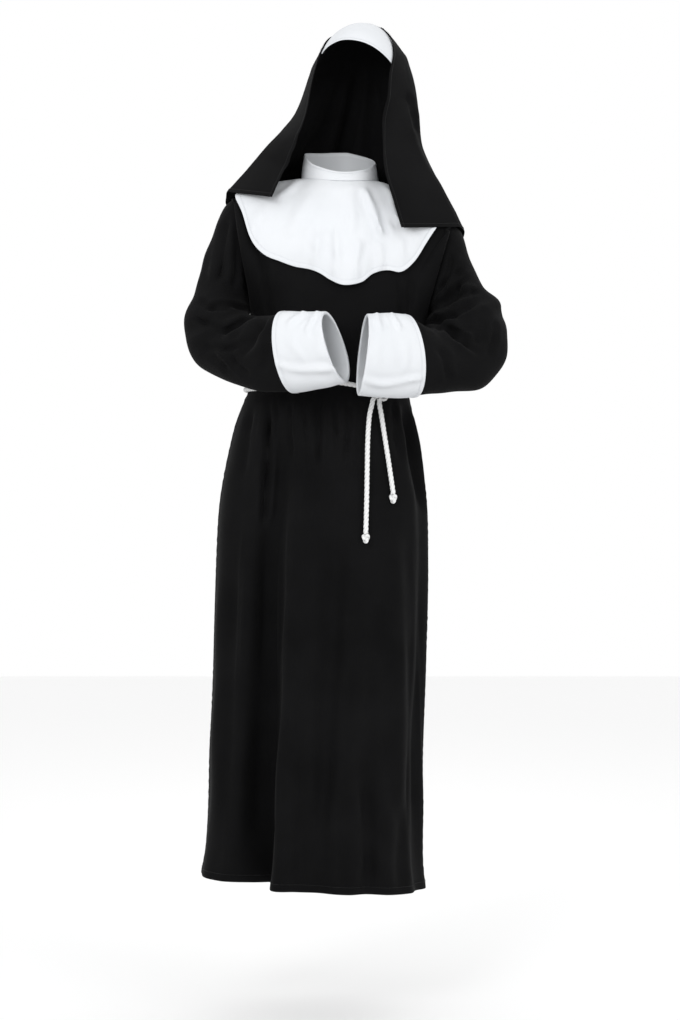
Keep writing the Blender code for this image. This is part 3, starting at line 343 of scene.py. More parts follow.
# Veil: one row for each section, from the headband's seam to the hem.  Each section runs from the
# free edge at the wearer's right, round the back, to the free edge at the left.
Drape = namedtuple("Drape", "step edgeR sideR back sideL edgeL")
veilRows = [
    Drape(0.25, (-0.0161, 0.0109, 0.2607), (-0.008, 0.047, 0.259), (0.045, 0.045, 0.276),
          (0.0880, 0.020, 0.259), (0.0845, -0.009, 0.2615)),
    Drape(0.5, (-0.0255, -0.0116, 0.2495), (-0.028, 0.062, 0.237), (0.048, 0.067, 0.264),
          (0.1055, 0.024, 0.2465), (0.0915, -0.020, 0.252)),
    Drape(1, (-0.0368, -0.0335, 0.2225), (-0.049, 0.056, 0.208), (0.052, 0.090, 0.236),
          (0.119, 0.034, 0.226), (0.0935, -0.050, 0.213)),
    Drape(1.5, (-0.0470, -0.034, 0.192), (-0.055, 0.045, 0.188), (0.049, 0.101, 0.200),
          (0.127, 0.031, 0.200), (0.0850, -0.067, 0.180)),
    Drape(2, (-0.055, -0.042, 0.161), (-0.0625, 0.032, 0.165), (0.045, 0.110, 0.160),
          (0.134, 0.028, 0.170), (0.0790, -0.067, 0.142)),
    Drape(3, (-0.065, -0.058, 0.112), (-0.084, 0.022, 0.114), (0.034, 0.112, 0.088),
          (0.141, 0.024, 0.112), (0.0730, -0.070, 0.098)),
    Drape(4, (-0.080, -0.072, 0.058), (-0.126, 0.016, 0.066), (0.023, 0.114, 0.010),
          (0.147, 0.020, 0.060), (0.0735, -0.076, 0.050)),
    Drape(5, (-0.101, -0.085, 0.004), (-0.156, 0.012, 0.029), (0.014, 0.117, -0.080),
          (0.167, 0.016, 0.012), (0.0775, -0.088, 0.002)),
    Drape(6, (-0.112, -0.093, -0.021), (-0.182, 0.008, 0.001), (0.006, 0.120, -0.170),
          (0.189, 0.012, -0.034), (0.0880, -0.098, -0.036)),
    Drape(7, (-0.122, -0.099, -0.043), (-0.208, 0.004, -0.026), (0.000, 0.123, -0.262),
          (0.216, 0.008, -0.099), (0.1055, -0.110, -0.098)),
]

# Folds of the veil: place across it (-1 to 1), the step where it starts, its width and depth.
Pleat = namedtuple("Pleat", "place start width depth")
veilFolds = [
    Pleat(-0.42, 2.0, 0.12, 0.012),
    Pleat(-0.14, 1.5, 0.12, 0.012),
    Pleat(0.14, 1.5, 0.12, 0.012),
    Pleat(0.42, 2.0, 0.12, 0.012),
    Pleat(0.74, 1.5, 0.10, 0.006),
]

# Routes of the rope's two hanging ends, from the knot down; y is worked out from the robe.
longEnd = [(0.0568, -0.3974), (0.0540, -0.410), (0.0500, -0.428), (0.0470, -0.468), (0.0458, -0.520),
           (0.0448, -0.575), (0.0432, -0.633)]
shortEnd = [(0.0672, -0.3982), (0.0680, -0.410), (0.0705, -0.424), (0.0760, -0.460), (0.0832, -0.507),
            (0.0915, -0.5635)]

# Corners, edges, middles and thirds of a net's cell that are kept clear of what lies under it.
cellPlaces = [(0,), (1,), (2,), (3,), (0, 1), (1, 2), (2, 3), (3, 0), (0, 2), (1, 3),
              (0, 1, 2), (0, 2, 3), (0, 1, 3), (1, 2, 3), (0, 0, 2), (0, 2, 2), (1, 1, 3), (1, 3, 3)]


def bump(distance):
    return 0.5 + 0.5 * math.cos(math.pi * distance) if abs(distance) < 1 else 0.0


def ease(amount):
    amount = min(max(amount, 0.0), 1.0)
    return amount * amount * (3 - 2 * amount)


def mix(low, high, amount):
    return low + (high - low) * amount


def hermite(start, end, leave, arrive, t):
    t2, t3 = t * t, t * t * t
    return (start * (2 * t3 - 3 * t2 + 1) + end * (3 * t2 - 2 * t3)
            + leave * (t3 - 2 * t2 + t) + arrive * (t3 - t2))


def readTable(rows, at):
    rows = sorted(rows, key=lambda row: row[0])
    at = min(max(at, rows[0][0]), rows[-1][0])
    index = max(i for i in range(len(rows) - 1) if rows[i][0] <= at)
    before, low = rows[max(index - 1, 0)], rows[index]
    high, after = rows[index + 1], rows[min(index + 2, len(rows) - 1)]
    span = high[0] - low[0]
    values = [at]
    for a, b, c, d in zip(before[1:], low[1:], high[1:], after[1:]):
        leave = (c - a) * (span / (high[0] - before[0]))
        arrive = (d - b) * (span / (after[0] - low[0]))
        values.append(hermite(b, c, leave, arrive, (at - low[0]) / span))
    return type(low)(*values)


Along = namedtuple("Along", "amount point")


def through(points, amount):
    lengths = [0.0]
    for start, end in zip(points, points[1:]):
        lengths.append(lengths[-1] + (end - start).length)
    rows = [Along(length / lengths[-1], point) for length, point in zip(lengths, points)]
    return readTable(rows, amount).point


def spread(low, high, steps):
    return [mix(low, high, i / steps) for i in range(steps + 1)]


def neckPoint(degrees, height, grow=0.0):
    angle = math.radians(degrees)
    return Vector((neck["centre"].x + (neck["halfWidth"] + grow) * math.sin(angle),
                   neck["centre"].y - (neck["halfDepth"] + grow) * math.cos(angle), height))


def sleeveRing(table, step, turns):
    ring = readTable(table, step)
    inner = Vector((ring.innerX, ring.innerY, ring.innerZ))
    outer = Vector((ring.outerX, ring.outerY, ring.outerZ))
    side = 1 if table is leftSleeve else -1
    turn = math.radians(ring.turn)
    forward = Vector((side * math.sin(turn), -math.cos(turn), 0)) * ring.halfDepth
    centre, half = (inner + outer) / 2, (inner - outer) / 2
    angle = 2 * math.pi * turns
    return centre + half * math.cos(angle) + forward * math.sin(angle)


def sleevePoint(table, creases, step, turns):
    point = sleeveRing(table, step, turns)
    middle = (sleeveRing(table, step, turns + 0.5) + point) / 2
    depth = sum(c.depth * bump((step - c.step) / c.steps) * bump((turns - c.place) / c.width)
                for c in creases)
    point += (point - middle).normalized() * depth
    outward = 1 if table is leftSleeve else -1
    point.x += outward * cloth["seam"] * bump(step)
    return point


def bodyPoint(face, place, z):
    level = readTable(levels, z)
    angle = place * math.pi / 2
    depth = level.front if face == front else level.back
    point = Vector((level.centre + level.halfWidth * math.sin(angle), face * depth * math.cos(angle), z))
    outward = Vector((math.sin(angle) / level.halfWidth, face * math.cos(angle) / depth, 0)).normalized()
    height = 0.0
    for fold in folds:
        if fold.face != face or not fold.foot <= z <= fold.top:
            continue
        down = (fold.top - z) / (fold.top - fold.foot)
        middle = mix(fold.topPlace, fold.footPlace, down)
        fade = ease((fold.top - z) / 0.06) * ease((z - fold.foot) / 0.06)
        height += fade * mix(fold.topDepth, fold.footDepth, down) * bump((place - middle) / fold.width)
    point += outward * height
    point.z += robe["hemSlope"] * point.x * ease((robe["slopeTop"] - z) / (robe["slopeTop"] - robe["hem"]))
    return point


def topEdge(face, place):
    table = leftSleeve if place > 0 else rightSleeve
    out = abs(place)
    over = Vector((0, -face, 0))
    if out >= robe["shoulderColumn"]:                       # armhole, from the armpit to the shoulder
        up = (1 - out) / (1 - robe["shoulderColumn"])
        turns = up / 2 if face == front else 1 - up / 2
        lean = ease(up) ** 2
        return sleeveRing(table, 0, turns), (over * lean + Vector((0, 0, 1 - lean))).normalized()
    neckSide = 90 if place > 0 else -90
    if out >= robe["neckColumn"]:                           # shoulder seam, from the tip to the neck
        inward = (robe["shoulderColumn"] - out) / (robe["shoulderColumn"] - robe["neckColumn"])
        tip = sleeveRing(table, 0, 0.5)
        neck = neckPoint(neckSide, readTable(neckRows, neckSide).robeZ, 0.001)
        point = tip.lerp(neck, inward)
        point.z += 0.006 * math.sin(math.pi * inward)
        return point, over
    degrees = 90 * place / robe["neckColumn"]
    if face == back:
        degrees = math.copysign(180, place) - degrees if place else 180
    rise = math.cos(math.pi / 2 * out / robe["neckColumn"])
    point = neckPoint(degrees, readTable(neckRows, degrees).robeZ, 0.001)
    return point, (over * (1 - 0.45 * rise) + Vector((0, 0, 0.8 * rise))).normalized()


def panelPoint(face, place, down):
    if down <= 1:
        foot = bodyPoint(face, place, robe["yokeFoot"])
        top, over = topEdge(face, place)
        reach = (top - foot).length
        point = hermite(foot, top, Vector((0, 0, reach)), over * reach, 1 - down)
    else:
        row = min(int(down - 1), len(robe["lowerRows"]) - 2)
        point = bodyPoint(face, place, mix(robe["lowerRows"][row], robe["lowerRows"][row + 1], down - 1 - row))
    point.y += face * cloth["seam"] / 2
    return point


def panelPlaces(finer=1):
    half = (spread(1, robe["shoulderColumn"], robe["armholeSteps"] * finer)[:-1]
            + spread(robe["shoulderColumn"], robe["neckColumn"], robe["shoulderSteps"] * finer)[:-1]
            + spread(robe["neckColumn"], 0, robe["neckSteps"] * finer // 2))
    return [-place for place in half] + half[-2::-1]


def panelRows(face, downs, finer):
    grid = [[panelPoint(face, place, down) for place in panelPlaces(finer)] for down in downs]
    return grid if face == front else [line[::-1] for line in grid]


def panelGrid(face, finer=1):
    downs = spread(0, 1, robe["upperRows"] * finer)
    downs += [1 + i / finer for i in range(1, (len(robe["lowerRows"]) - 1) * finer + 1)]
    return panelRows(face, downs, finer)


def sleeveGrid(table, creases, steps=sleeves["steps"], sides=sleeves["sides"]):
    turns = [i / sides for i in range(sides)]
    grid = [[sleevePoint(table, creases, step, turn) for turn in turns] for step in steps]
    return grid if table is leftSleeve else [line[::-1] for line in grid]


def headAxes():
    across = Vector((math.cos(head["turn"]), -math.sin(head["turn"]), 0))
    ahead = Vector((-math.sin(head["turn"]), -math.cos(head["turn"]), 0)) * math.cos(head["tilt"])
    ahead.z = math.sin(head["tilt"])
    return across, ahead, ahead.cross(across)


def headPoint(side, up, grow=0.0):
    across, ahead, crown = headAxes()
    return (head["centre"] + across * (head["halfWidth"] + grow) * math.sin(side)
            + ahead * (head["halfLength"] + grow) * math.cos(side) * math.cos(up)
            + crown * (head["halfHeight"] + grow) * math.cos(side) * math.sin(up))


def headReach(point):
    halves = (head["halfWidth"], head["halfLength"], head["halfHeight"])
    offset = point - head["centre"]
    return Vector([offset.dot(axis) / (half + veil["overHead"]) for axis, half in zip(headAxes(), halves)])


def clearOfHead(point):
    return head["centre"] + (point - head["centre"]) / min(headReach(point).length, 1)


def veilSeam(place):
    side = veil["sideLeft"] if place > 0 else veil["sideRight"]
    over = (veil["overHead"] - headband["rest"]) * ease((abs(place) - 0.5) / 0.4)
    crown = headband["crown"] + 1.2 * cloth["seam"] / head["halfHeight"]
    return headPoint(side * place, crown, headband["rest"] + over)


def veilSection(step, place):
    seam = [veilSeam(turn) for turn in (-1, -0.5, 0, 0.5, 1)]
    rows = [Drape(0, *seam)] + [Drape(row.step, *[Vector(point) for point in row[1:]]) for row in veilRows]
    section = readTable(rows, step)
    missed = veilSeam(place) - through(seam, (place + 1) / 2)
    return through(section[1:], (place + 1) / 2) + missed * (1 - ease(step))


def veilPoint(step, place):
    point = veilSection(step, place)
    ahead = veilSection(step, min(place + 0.02, 1)) - veilSection(step, max(place - 0.02, -1))
    below = veilSection(min(step + 0.1, 7), place) - veilSection(max(step - 0.1, 0), place)
    outward = ahead.cross(below).normalized()
    depth = sum(f.depth * ease((step - f.start) / 3) * bump((place - f.place) / f.width) for f in veilFolds)
    return point + outward * depth


def settle(point, tree, least, most):
    spot, normal, _, distance = tree.find_nearest(point)
    if (point - spot).dot(normal) < -0.7 * distance:             # under the surface
        return spot + normal * least
    return spot + (point - spot).normalized() * min(max(distance, least), most)


def lifted(grid, tree, least, closed=False):
    rows, columns = len(grid), len(grid[0])
    grid = [[point.copy() for point in line] for line in grid]
    for _ in range(collar["liftPasses"]):
        pushes = {}
        for r in range(rows - 1):
            for c in range(columns if closed else columns - 1):
                d = (c + 1) % columns
                corners = [(r, c), (r, d), (r + 1, d), (r + 1, c)]
                for picks in cellPlaces:
                    points = [grid[corners[i][0]][corners[i][1]] for i in picks]
                    middle = sum(points, Vector()) / len(points)
                    push = settle(middle, tree, least, 1.0) - middle
                    if collar["unmoved"] < push.length < collar["reach"]:
                        for i in picks:
                            if push.length > pushes.get(corners[i], Vector()).length:
                                pushes[corners[i]] = push
        for (r, c), push in pushes.items():
            if r > 0:
                grid[r][c] += push
    return grid


def relaxed(grid, closed):
    rows, columns = len(grid), len(grid[0])
    result = [line[:] for line in grid]
    for r in range(1, rows - 1):
        for c in range(columns):
            if closed or 0 < c < columns - 1:
                around = grid[r - 1][c] + grid[r + 1][c] + grid[r][c - 1] + grid[r][(c + 1) % columns]
                result[r][c] = (grid[r][c] + around / 4) / 2
    return result


def collarGrid(tree):
    grid = []
    for row in range(collar["rows"] + 1):
        out = row / collar["rows"]
        line = []
        for column in range(collar["columns"]):
            degrees = -180 + 360 * column / collar["columns"]
            hem = readTable(collarHem, degrees)
            height = readTable(neckRows, degrees).robeZ + collar["rest"] + cloth["seam"]
            neck = neckPoint(degrees, height, 0.0015)
            angle = math.radians(degrees)
            foot = Vector((hem.reach * math.sin(angle), -hem.reach * math.cos(angle), hem.z))
            point = neck.lerp(foot, out)
            point.z += 0.03 * math.sin(math.pi * out)
            lift = collar["rest"] + hem.wave * ease(out * 1.3 - 0.3)
            line.append(neck if row == 0 else settle(point, tree, lift, lift))
        grid.append(line)
    return lifted(relaxed(grid, True), tree, collar["rest"], True)


def veilGrid(robeTree, whiteTree):
    grid = [[veilPoint(step, place) for place in spread(-1, 1, veil["columns"])] for step in veil["steps"]]
    top = veil["steps"].index(1) + 1
    for _ in range(veil["relaxings"]):
        grid = relaxed(grid[:top], False) + grid[top:]
    for _ in range(2):
        grid = [grid[0]] + [[clearOfHead(point) for point in line] for line in grid[1:]]
        grid = lifted(grid, robeTree, veil["restOnRobe"])
        grid = lifted(grid, whiteTree, veil["restOnCollar"])
    return grid


def surfaceTree(grids):
    points, faces = [], []
    for grid, closed in grids:
        start, columns = len(points), len(grid[0])
        points += [point for line in grid for point in line]
        for r in range(len(grid) - 1):
            for c in range(columns if closed else columns - 1):
                a, b = start + r * columns + c, start + r * columns + (c + 1) % columns
                faces += [(a, a + columns, b + columns), (a, b + columns, b)]
                faces += [(a, a + columns, b), (b, a + columns, b + columns)]
    return BVHTree.FromPolygons(points, faces)


# fine cloth nets, as arrays of rows, columns and x, y, z
weave = {"wall": 0.0011, "hemThick": 0.0005, "hemClear": 0.003, "downRobe": 2, "acrossRobe": 3,
         "downSleeve": 3, "acrossSleeve": 3, "downCollar": 8, "acrossCollar": 5, "downVeil": 5, "acrossVeil": 5}
seamLine = {"depth": 0.0010, "width": 0.006, "pucker": 0.0006, "puckerReach": 0.02, "puckerGap": 0.004,
            "gather": 0.018}


def toArray(grid):
    return np.array([[point[:] for point in line] for line in grid], float)


def finer(points, times, closed=False):                     # smooth rows added between the rows of a net
    if closed:
        before, after, last = np.roll(points, 1, 0), np.roll(points, -1, 0), np.roll(points, -2, 0)
        sets = zip(before, points, after, last)
    else:
        full = np.concatenate([[2 * points[0] - points[1]], points, [2 * points[-1] - points[-2]]])
        sets = zip(full[:-3], full[1:-2], full[2:-1], full[3:])
    rows = []
    for a, b, c, d in sets:
        for k in range(times):
            t = k / times
            rows.append(0.5 * (2 * b + (c - a) * t + (2 * a - 5 * b + 4 * c - d) * t * t
                               + (3 * b - a - 3 * c + d) * t ** 3))
    return np.array(rows if closed else rows + [points[-1]])


def finerNet(grid, down, across, closed=False):
    points = finer(toArray(grid), down)
    return finer(points.transpose(1, 0, 2), across, closed).transpose(1, 0, 2)


def outward(points, closed):
    along = np.roll(points, -1, 1) - np.roll(points, 1, 1)
    if not closed:
        along[:, 0], along[:, -1] = points[:, 1] - points[:, 0], points[:, -1] - points[:, -2]
    down = np.empty_like(points)
    down[1:-1] = points[2:] - points[:-2]
    down[0], down[-1] = points[1] - points[0], points[-1] - points[-2]
    normal = np.cross(down, along)
    return normal / np.maximum(np.linalg.norm(normal, axis=2, keepdims=True), 1e-9)


def turned(points, end):                                    # puts the named edge last
    return {"foot": points, "top": points[::-1], "right": points.swapaxes(0, 1),
            "left": points.swapaxes(0, 1)[::-1]}[end]


def turnedBack(points, end):
    return {"foot": points, "top": points[::-1], "right": points.swapaxes(0, 1),
            "left": points[::-1].swapaxes(0, 1)}[end]


def fromEdge(net):                                          # distance of each point from the last row
    steps = np.linalg.norm(np.diff(net, axis=0), axis=2)
    reach = np.zeros(net.shape[:2])
    reach[:-1] = np.cumsum(steps[::-1], axis=0)[::-1]
    return reach


def rowAt(net, reach, distance):                            # a row at that distance from the edge
    row = np.empty((net.shape[1], 3))
    for c in range(net.shape[1]):
        for axis in range(3):
            row[c, axis] = np.interp(distance, reach[::-1, c], net[::-1, c, axis])
    return row


def withHem(points, closed, width, end="foot", thick=weave["hemThick"]):    # the edge thicker by a turned hem
    net = turned(points, end)
    reach = fromEdge(net)
    kept = net[reach.min(axis=1) > width + weave["hemClear"]]
    # distances from the edge, and how far each row is raised there, in hem thicknesses
    marks = [(width + 0.0012, 0), (width, -0.6), (width - 0.0014, 0.8), (0.55 * width, 1), (0.0022, 0.9),
             (0.0007, 0.5), (0, -0.5)]
    rows = np.array([rowAt(net, reach, distance) for distance, _ in marks])
    lift = np.concatenate([np.zeros(len(kept)), [thick * amount for _, amount in marks]])
    net = np.concatenate([kept, rows])
    lift = np.repeat(lift[:, None], net.shape[1], axis=1)[..., None]
    points, lift = turnedBack(net, end), turnedBack(lift, end)
    return points + outward(points, closed) * lift


def hemLine(points, closed, distance, end="foot", height=0.0006):
    net, normals = turned(points, end), turned(outward(points, closed), end)
    reach = fromEdge(net)
    line = rowAt(net + normals * height, reach, distance)
    return np.concatenate([line, line[:1]]) if closed and end in ("foot", "top") else line


def waves(values, seed, size):                              # smooth uneven change along a line, -1 to 1
    chance = np.random.default_rng(seed)
    total = np.zeros_like(values)
    for _ in range(4):
        often = chance.uniform(0.6, 1.7)
        total = total + np.sin(values / size * math.tau * often + chance.uniform(0, math.tau))
    return total / 3


def rippled(points, normals, seed, size, height, upright=0.4):
    chance = np.random.default_rng(seed)
    total = np.zeros(points.shape[:2])
    for _ in range(16):
        way = chance.normal(size=3) * (1, 1, upright)
        way *= math.tau / size / np.linalg.norm(way) * chance.uniform(0.5, 1.8)
        total += np.sin(points @ way + chance.uniform(0, math.tau))
    return points + normals * (total * height / 4)[..., None]


Crinkle = namedtuple("Crinkle", "side path width depth")


def creasesFrom(*groups):                                   # paths turned from points of the view into metres
    made = []
    (middleX, middleZ), height = view["middle"], view["target"][2]
    for side, y, rows in groups:
        scale = view["point"] * (view["distance"] + y) / view["distance"]
        for path, width, depth in rows:
            places = [(round((across - middleX) * scale, 4), round(height + (middleZ - down) * scale, 4))
                      for across, down in path]
            made.append(Crinkle(side, places, width, depth))
    return made


def hanging(topX, middleX, footX, top, foot):               # a crease that hangs, bent a little halfway down
    return [(topX, top), (middleX, (top + foot) / 2), (footX, foot)]


def pathReach(x, z, path):                                  # signed distance from a line, and place along it
    line = finer(np.array(path, float), 6)
    lengths = np.linalg.norm(np.diff(line, axis=0), axis=1)
    best, signed, along = np.full(x.shape, 9.0), np.zeros(x.shape), np.zeros(x.shape)
    done = 0.0
    for (x0, z0), (x1, z1), length in zip(line, line[1:], lengths):
        t = np.clip(((x - x0) * (x1 - x0) + (z - z0) * (z1 - z0)) / length ** 2, 0, 1)
        offX, offZ = x - x0 - t * (x1 - x0), z - z0 - t * (z1 - z0)
        distance = np.hypot(offX, offZ)
        nearer = distance < best
        best = np.where(nearer, distance, best)
        signed = np.where(nearer, distance * np.sign((x1 - x0) * offZ - (z1 - z0) * offX), signed)
        along = np.where(nearer, (done + t * length) / lengths.sum(), along)
        done += length
    return signed, along, lengths.sum()


def smooth(amount):
    amount = np.clip(amount, 0, 1)
    return amount * amount * (3 - 2 * amount)


# a crease: a trough, soft shoulders at "sides" of its width, and a slight, uneven wander
creaseShape = {"wander": 0.5, "wanderSize": 0.09, "straight": 0.08, "swell": 0.22, "swellSize": 0.12,
               "sides": ((0.50, 1.7, 1.1), (0.35, -1.8, 1.2)), "fade": 0.22, "least": 0.85, "uneven": 0.3,
               "unevenSize": 0.5, "facing": 2.2}


def crinkled(points, normals, rows, seed):
    x, z, total = points[..., 0], points[..., 2], np.zeros(points.shape[:2])
    for number, row in enumerate(rows):
        signed, along, length = pathReach(x, z, row.path)
        wander = min(1, creaseShape["straight"] / length)   # a long fold hangs straighter than a short one
        signed = signed + row.width * creaseShape["wander"] * wander * waves(
            along * length, seed + number, creaseShape["wanderSize"] / wander)
        s = signed / (row.width * (1 + creaseShape["swell"] * waves(
            along * length, seed + 50 + number, creaseShape["swellSize"] / wander)))
        shape = np.exp(-s * s)
        for height, place, width in creaseShape["sides"]:
            shape = shape - height * np.exp(-((s - place) / width) ** 2)
        uneven = creaseShape["uneven"] * waves(along, seed + 90 + number, creaseShape["unevenSize"])
        fade = (smooth(along / creaseShape["fade"]) * smooth((1 - along) / creaseShape["fade"])
                * (creaseShape["least"] + uneven))
        facing = smooth(row.side * normals[..., 1] * creaseShape["facing"])
        total += row.depth * shape * fade * facing
    return points + normals * total[..., None]


def seamDip(points, closed, end, depth=seamLine["depth"], pucker=seamLine["pucker"], seed=1, where=1.0):
    net = turned(points, end)
    reach = turnedBack(fromEdge(net), end)
    along = np.cumsum(np.linalg.norm(np.diff(net[-1], axis=0, prepend=net[-1][:1]), axis=1))
    gathers = np.broadcast_to(waves(along, seed, seamLine["gather"])[None, :], net.shape[:2])
    gathers = turnedBack(gathers, end)
    lift = -depth * np.exp(-(reach / seamLine["width"]) ** 2)
    lift += (pucker * gathers * np.exp(-(reach / seamLine["puckerReach"]) ** 2)
             * (1 - np.exp(-(reach / seamLine["puckerGap"]) ** 2)))
    return points + outward(points, closed) * (lift * where)[..., None]


def netTree(nets):
    points, faces, start = [], [], 0
    for net, closed in nets:
        rows, columns = net.shape[:2]
        span = np.arange(columns if closed else columns - 1)
        a = start + np.arange(rows - 1)[:, None] * columns + span[None]
        b = start + np.arange(rows - 1)[:, None] * columns + ((span + 1) % columns)[None]
        quads = np.stack([a, a + columns, b + columns, b], axis=-1).reshape(-1, 4)
        faces += quads.tolist()
        points += net.reshape(-1, 3).tolist()
        start += rows * columns
    return BVHTree.FromPolygons(points, faces)


clearance = {"spreads": 5, "near": 0.010, "touching": 0.0008, "square": 0.6}    # how cloths are kept apart


def keptClear(points, tree, gap, firstRow, most):
    push = np.zeros_like(points)
    for r in range(firstRow, points.shape[0]):
        for c in range(points.shape[1]):
            here = Vector(points[r, c])
            away = settle(here, tree, gap, 1.0) - here
            if 0 < away.length < most:
                push[r, c] = away
    for _ in range(clearance["spreads"]):                   # spreads each push, so that no dent shows
        around = (np.roll(push, 1, 1) + np.roll(push, -1, 1)) / 4
        around[1:-1] += (push[2:] + push[:-2]) / 4
        larger = np.linalg.norm(around, axis=2) > np.linalg.norm(push, axis=2)
        push[larger] = around[larger]
    push[:firstRow] = 0
    return points + push


def evened(points, weight, times, closed=False):            # rubs out sharp changes where the weight is high
    for _ in range(times):
        around = points.copy()
        around[1:-1, 1:-1] = (points[2:, 1:-1] + points[:-2, 1:-1] + points[1:-1, 2:] + points[1:-1, :-2]) / 4
        if closed:
            for c, before in ((0, -1), (-1, -2)):
                around[1:-1, c] = (points[2:, c] + points[:-2, c] + points[1:-1, before]
                                   + points[1:-1, (c + 1) % points.shape[1]]) / 4
            around[-1] = (np.roll(points[-1], 1, 0) + np.roll(points[-1], -1, 0)) / 2
        else:
            around[-1, 1:-1] = (points[-1, 2:] + points[-1, :-2]) / 2
            for c in (0, -1):
                around[1:-1, c] = (points[2:, c] + points[:-2, c]) / 2
        points = points + (around - points) * weight[..., None]
    return points


def keptUnder(points, tree, gap):                           # back below an upper cloth, where it stands through
    moved = points.copy()
    for r in range(points.shape[0]):
        for c in range(points.shape[1]):
            here = Vector(points[r, c])
            spot, normal, _, distance = tree.find_nearest(here, clearance["near"])
            if spot is None:
                continue
            height = (here - spot).dot(normal)
            facing = distance < clearance["touching"] or abs(height) > clearance["square"] * distance
            if height > -gap and facing:
                moved[r, c] = here - normal * (height + gap)
    return moved


def loopPiece(name, points, inner, finish, closed):
    rows, columns = points.shape[:2]
    span = columns if closed else columns - 1
    wide = np.concatenate([points, points[:, :1]], axis=1) if closed else points
    across = np.zeros(wide.shape[:2])
    across[:, 1:] = np.cumsum(np.linalg.norm(np.diff(wide, axis=1), axis=2), axis=1)
    across -= across[:, -1:] / 2
    down = np.zeros(wide.shape[:2])
    down[1:] = np.cumsum(np.linalg.norm(np.diff(wide, axis=0), axis=2), axis=0)
    uv = np.stack([across, down], axis=-1)
    r, c = np.meshgrid(np.arange(rows - 1), np.arange(span), indexing="ij")
    r, c = r.ravel(), c.ravel()
    d, shift = (c + 1) % columns, rows * columns
    corners = [(r, c, c), (r + 1, c, c), (r + 1, d, c + 1), (r, d, c + 1)]
    outer = np.stack([row * columns + column for row, column, _ in corners], axis=-1)
    outerUv = np.stack([uv[row, column] for row, _, column in corners], axis=1)
    faces, uvs = [outer, (outer + shift)[:, ::-1]], [outerUv, outerUv[:, ::-1]]

    def rim(a, b, uvA, uvB, turn):
        quad = np.stack([a, b, b + shift, a + shift], axis=-1)
        side = np.stack([uvA, uvB, uvB + (0, 0.001), uvA + (0, 0.001)], axis=1)
        faces.append(quad[:, ::-1] if turn else quad)
        uvs.append(side[:, ::-1] if turn else side)

    c = np.arange(span)
    d, last = (c + 1) % columns, (rows - 1) * columns
    rim(c, d, uv[0, c], uv[0, c + 1], False)
    rim(last + c, last + d, uv[-1, c], uv[-1, c + 1], True)
    if not closed:
        r = np.arange(rows - 1)
        rim(r * columns, (r + 1) * columns, uv[r, 0], uv[r + 1, 0], True)
        rim(r * columns + columns - 1, (r + 1) * columns + columns - 1, uv[r, -1], uv[r + 1, -1], False)
    faces, uvs = np.concatenate(faces), np.concatenate(uvs)
    mesh = bpy.data.meshes.new(name)
    mesh.from_pydata(np.concatenate([points, inner]).reshape(-1, 3).tolist(), [], faces.tolist())
    mesh.uv_layers.new(name="threads").data.foreach_set("uv", uvs.ravel())
    mesh.materials.append(finish)
    mesh.shade_smooth()
    mesh.set_sharp_from_angle(angle=math.radians(55))
    piece = bpy.data.objects.new(name, mesh)
    bpy.context.scene.collection.objects.link(piece)
    return piece


def clothPiece(name, points, finish, closed=False, wall=weave["wall"]):
    return loopPiece(name, points, points - outward(points, closed) * wall, finish, closed)
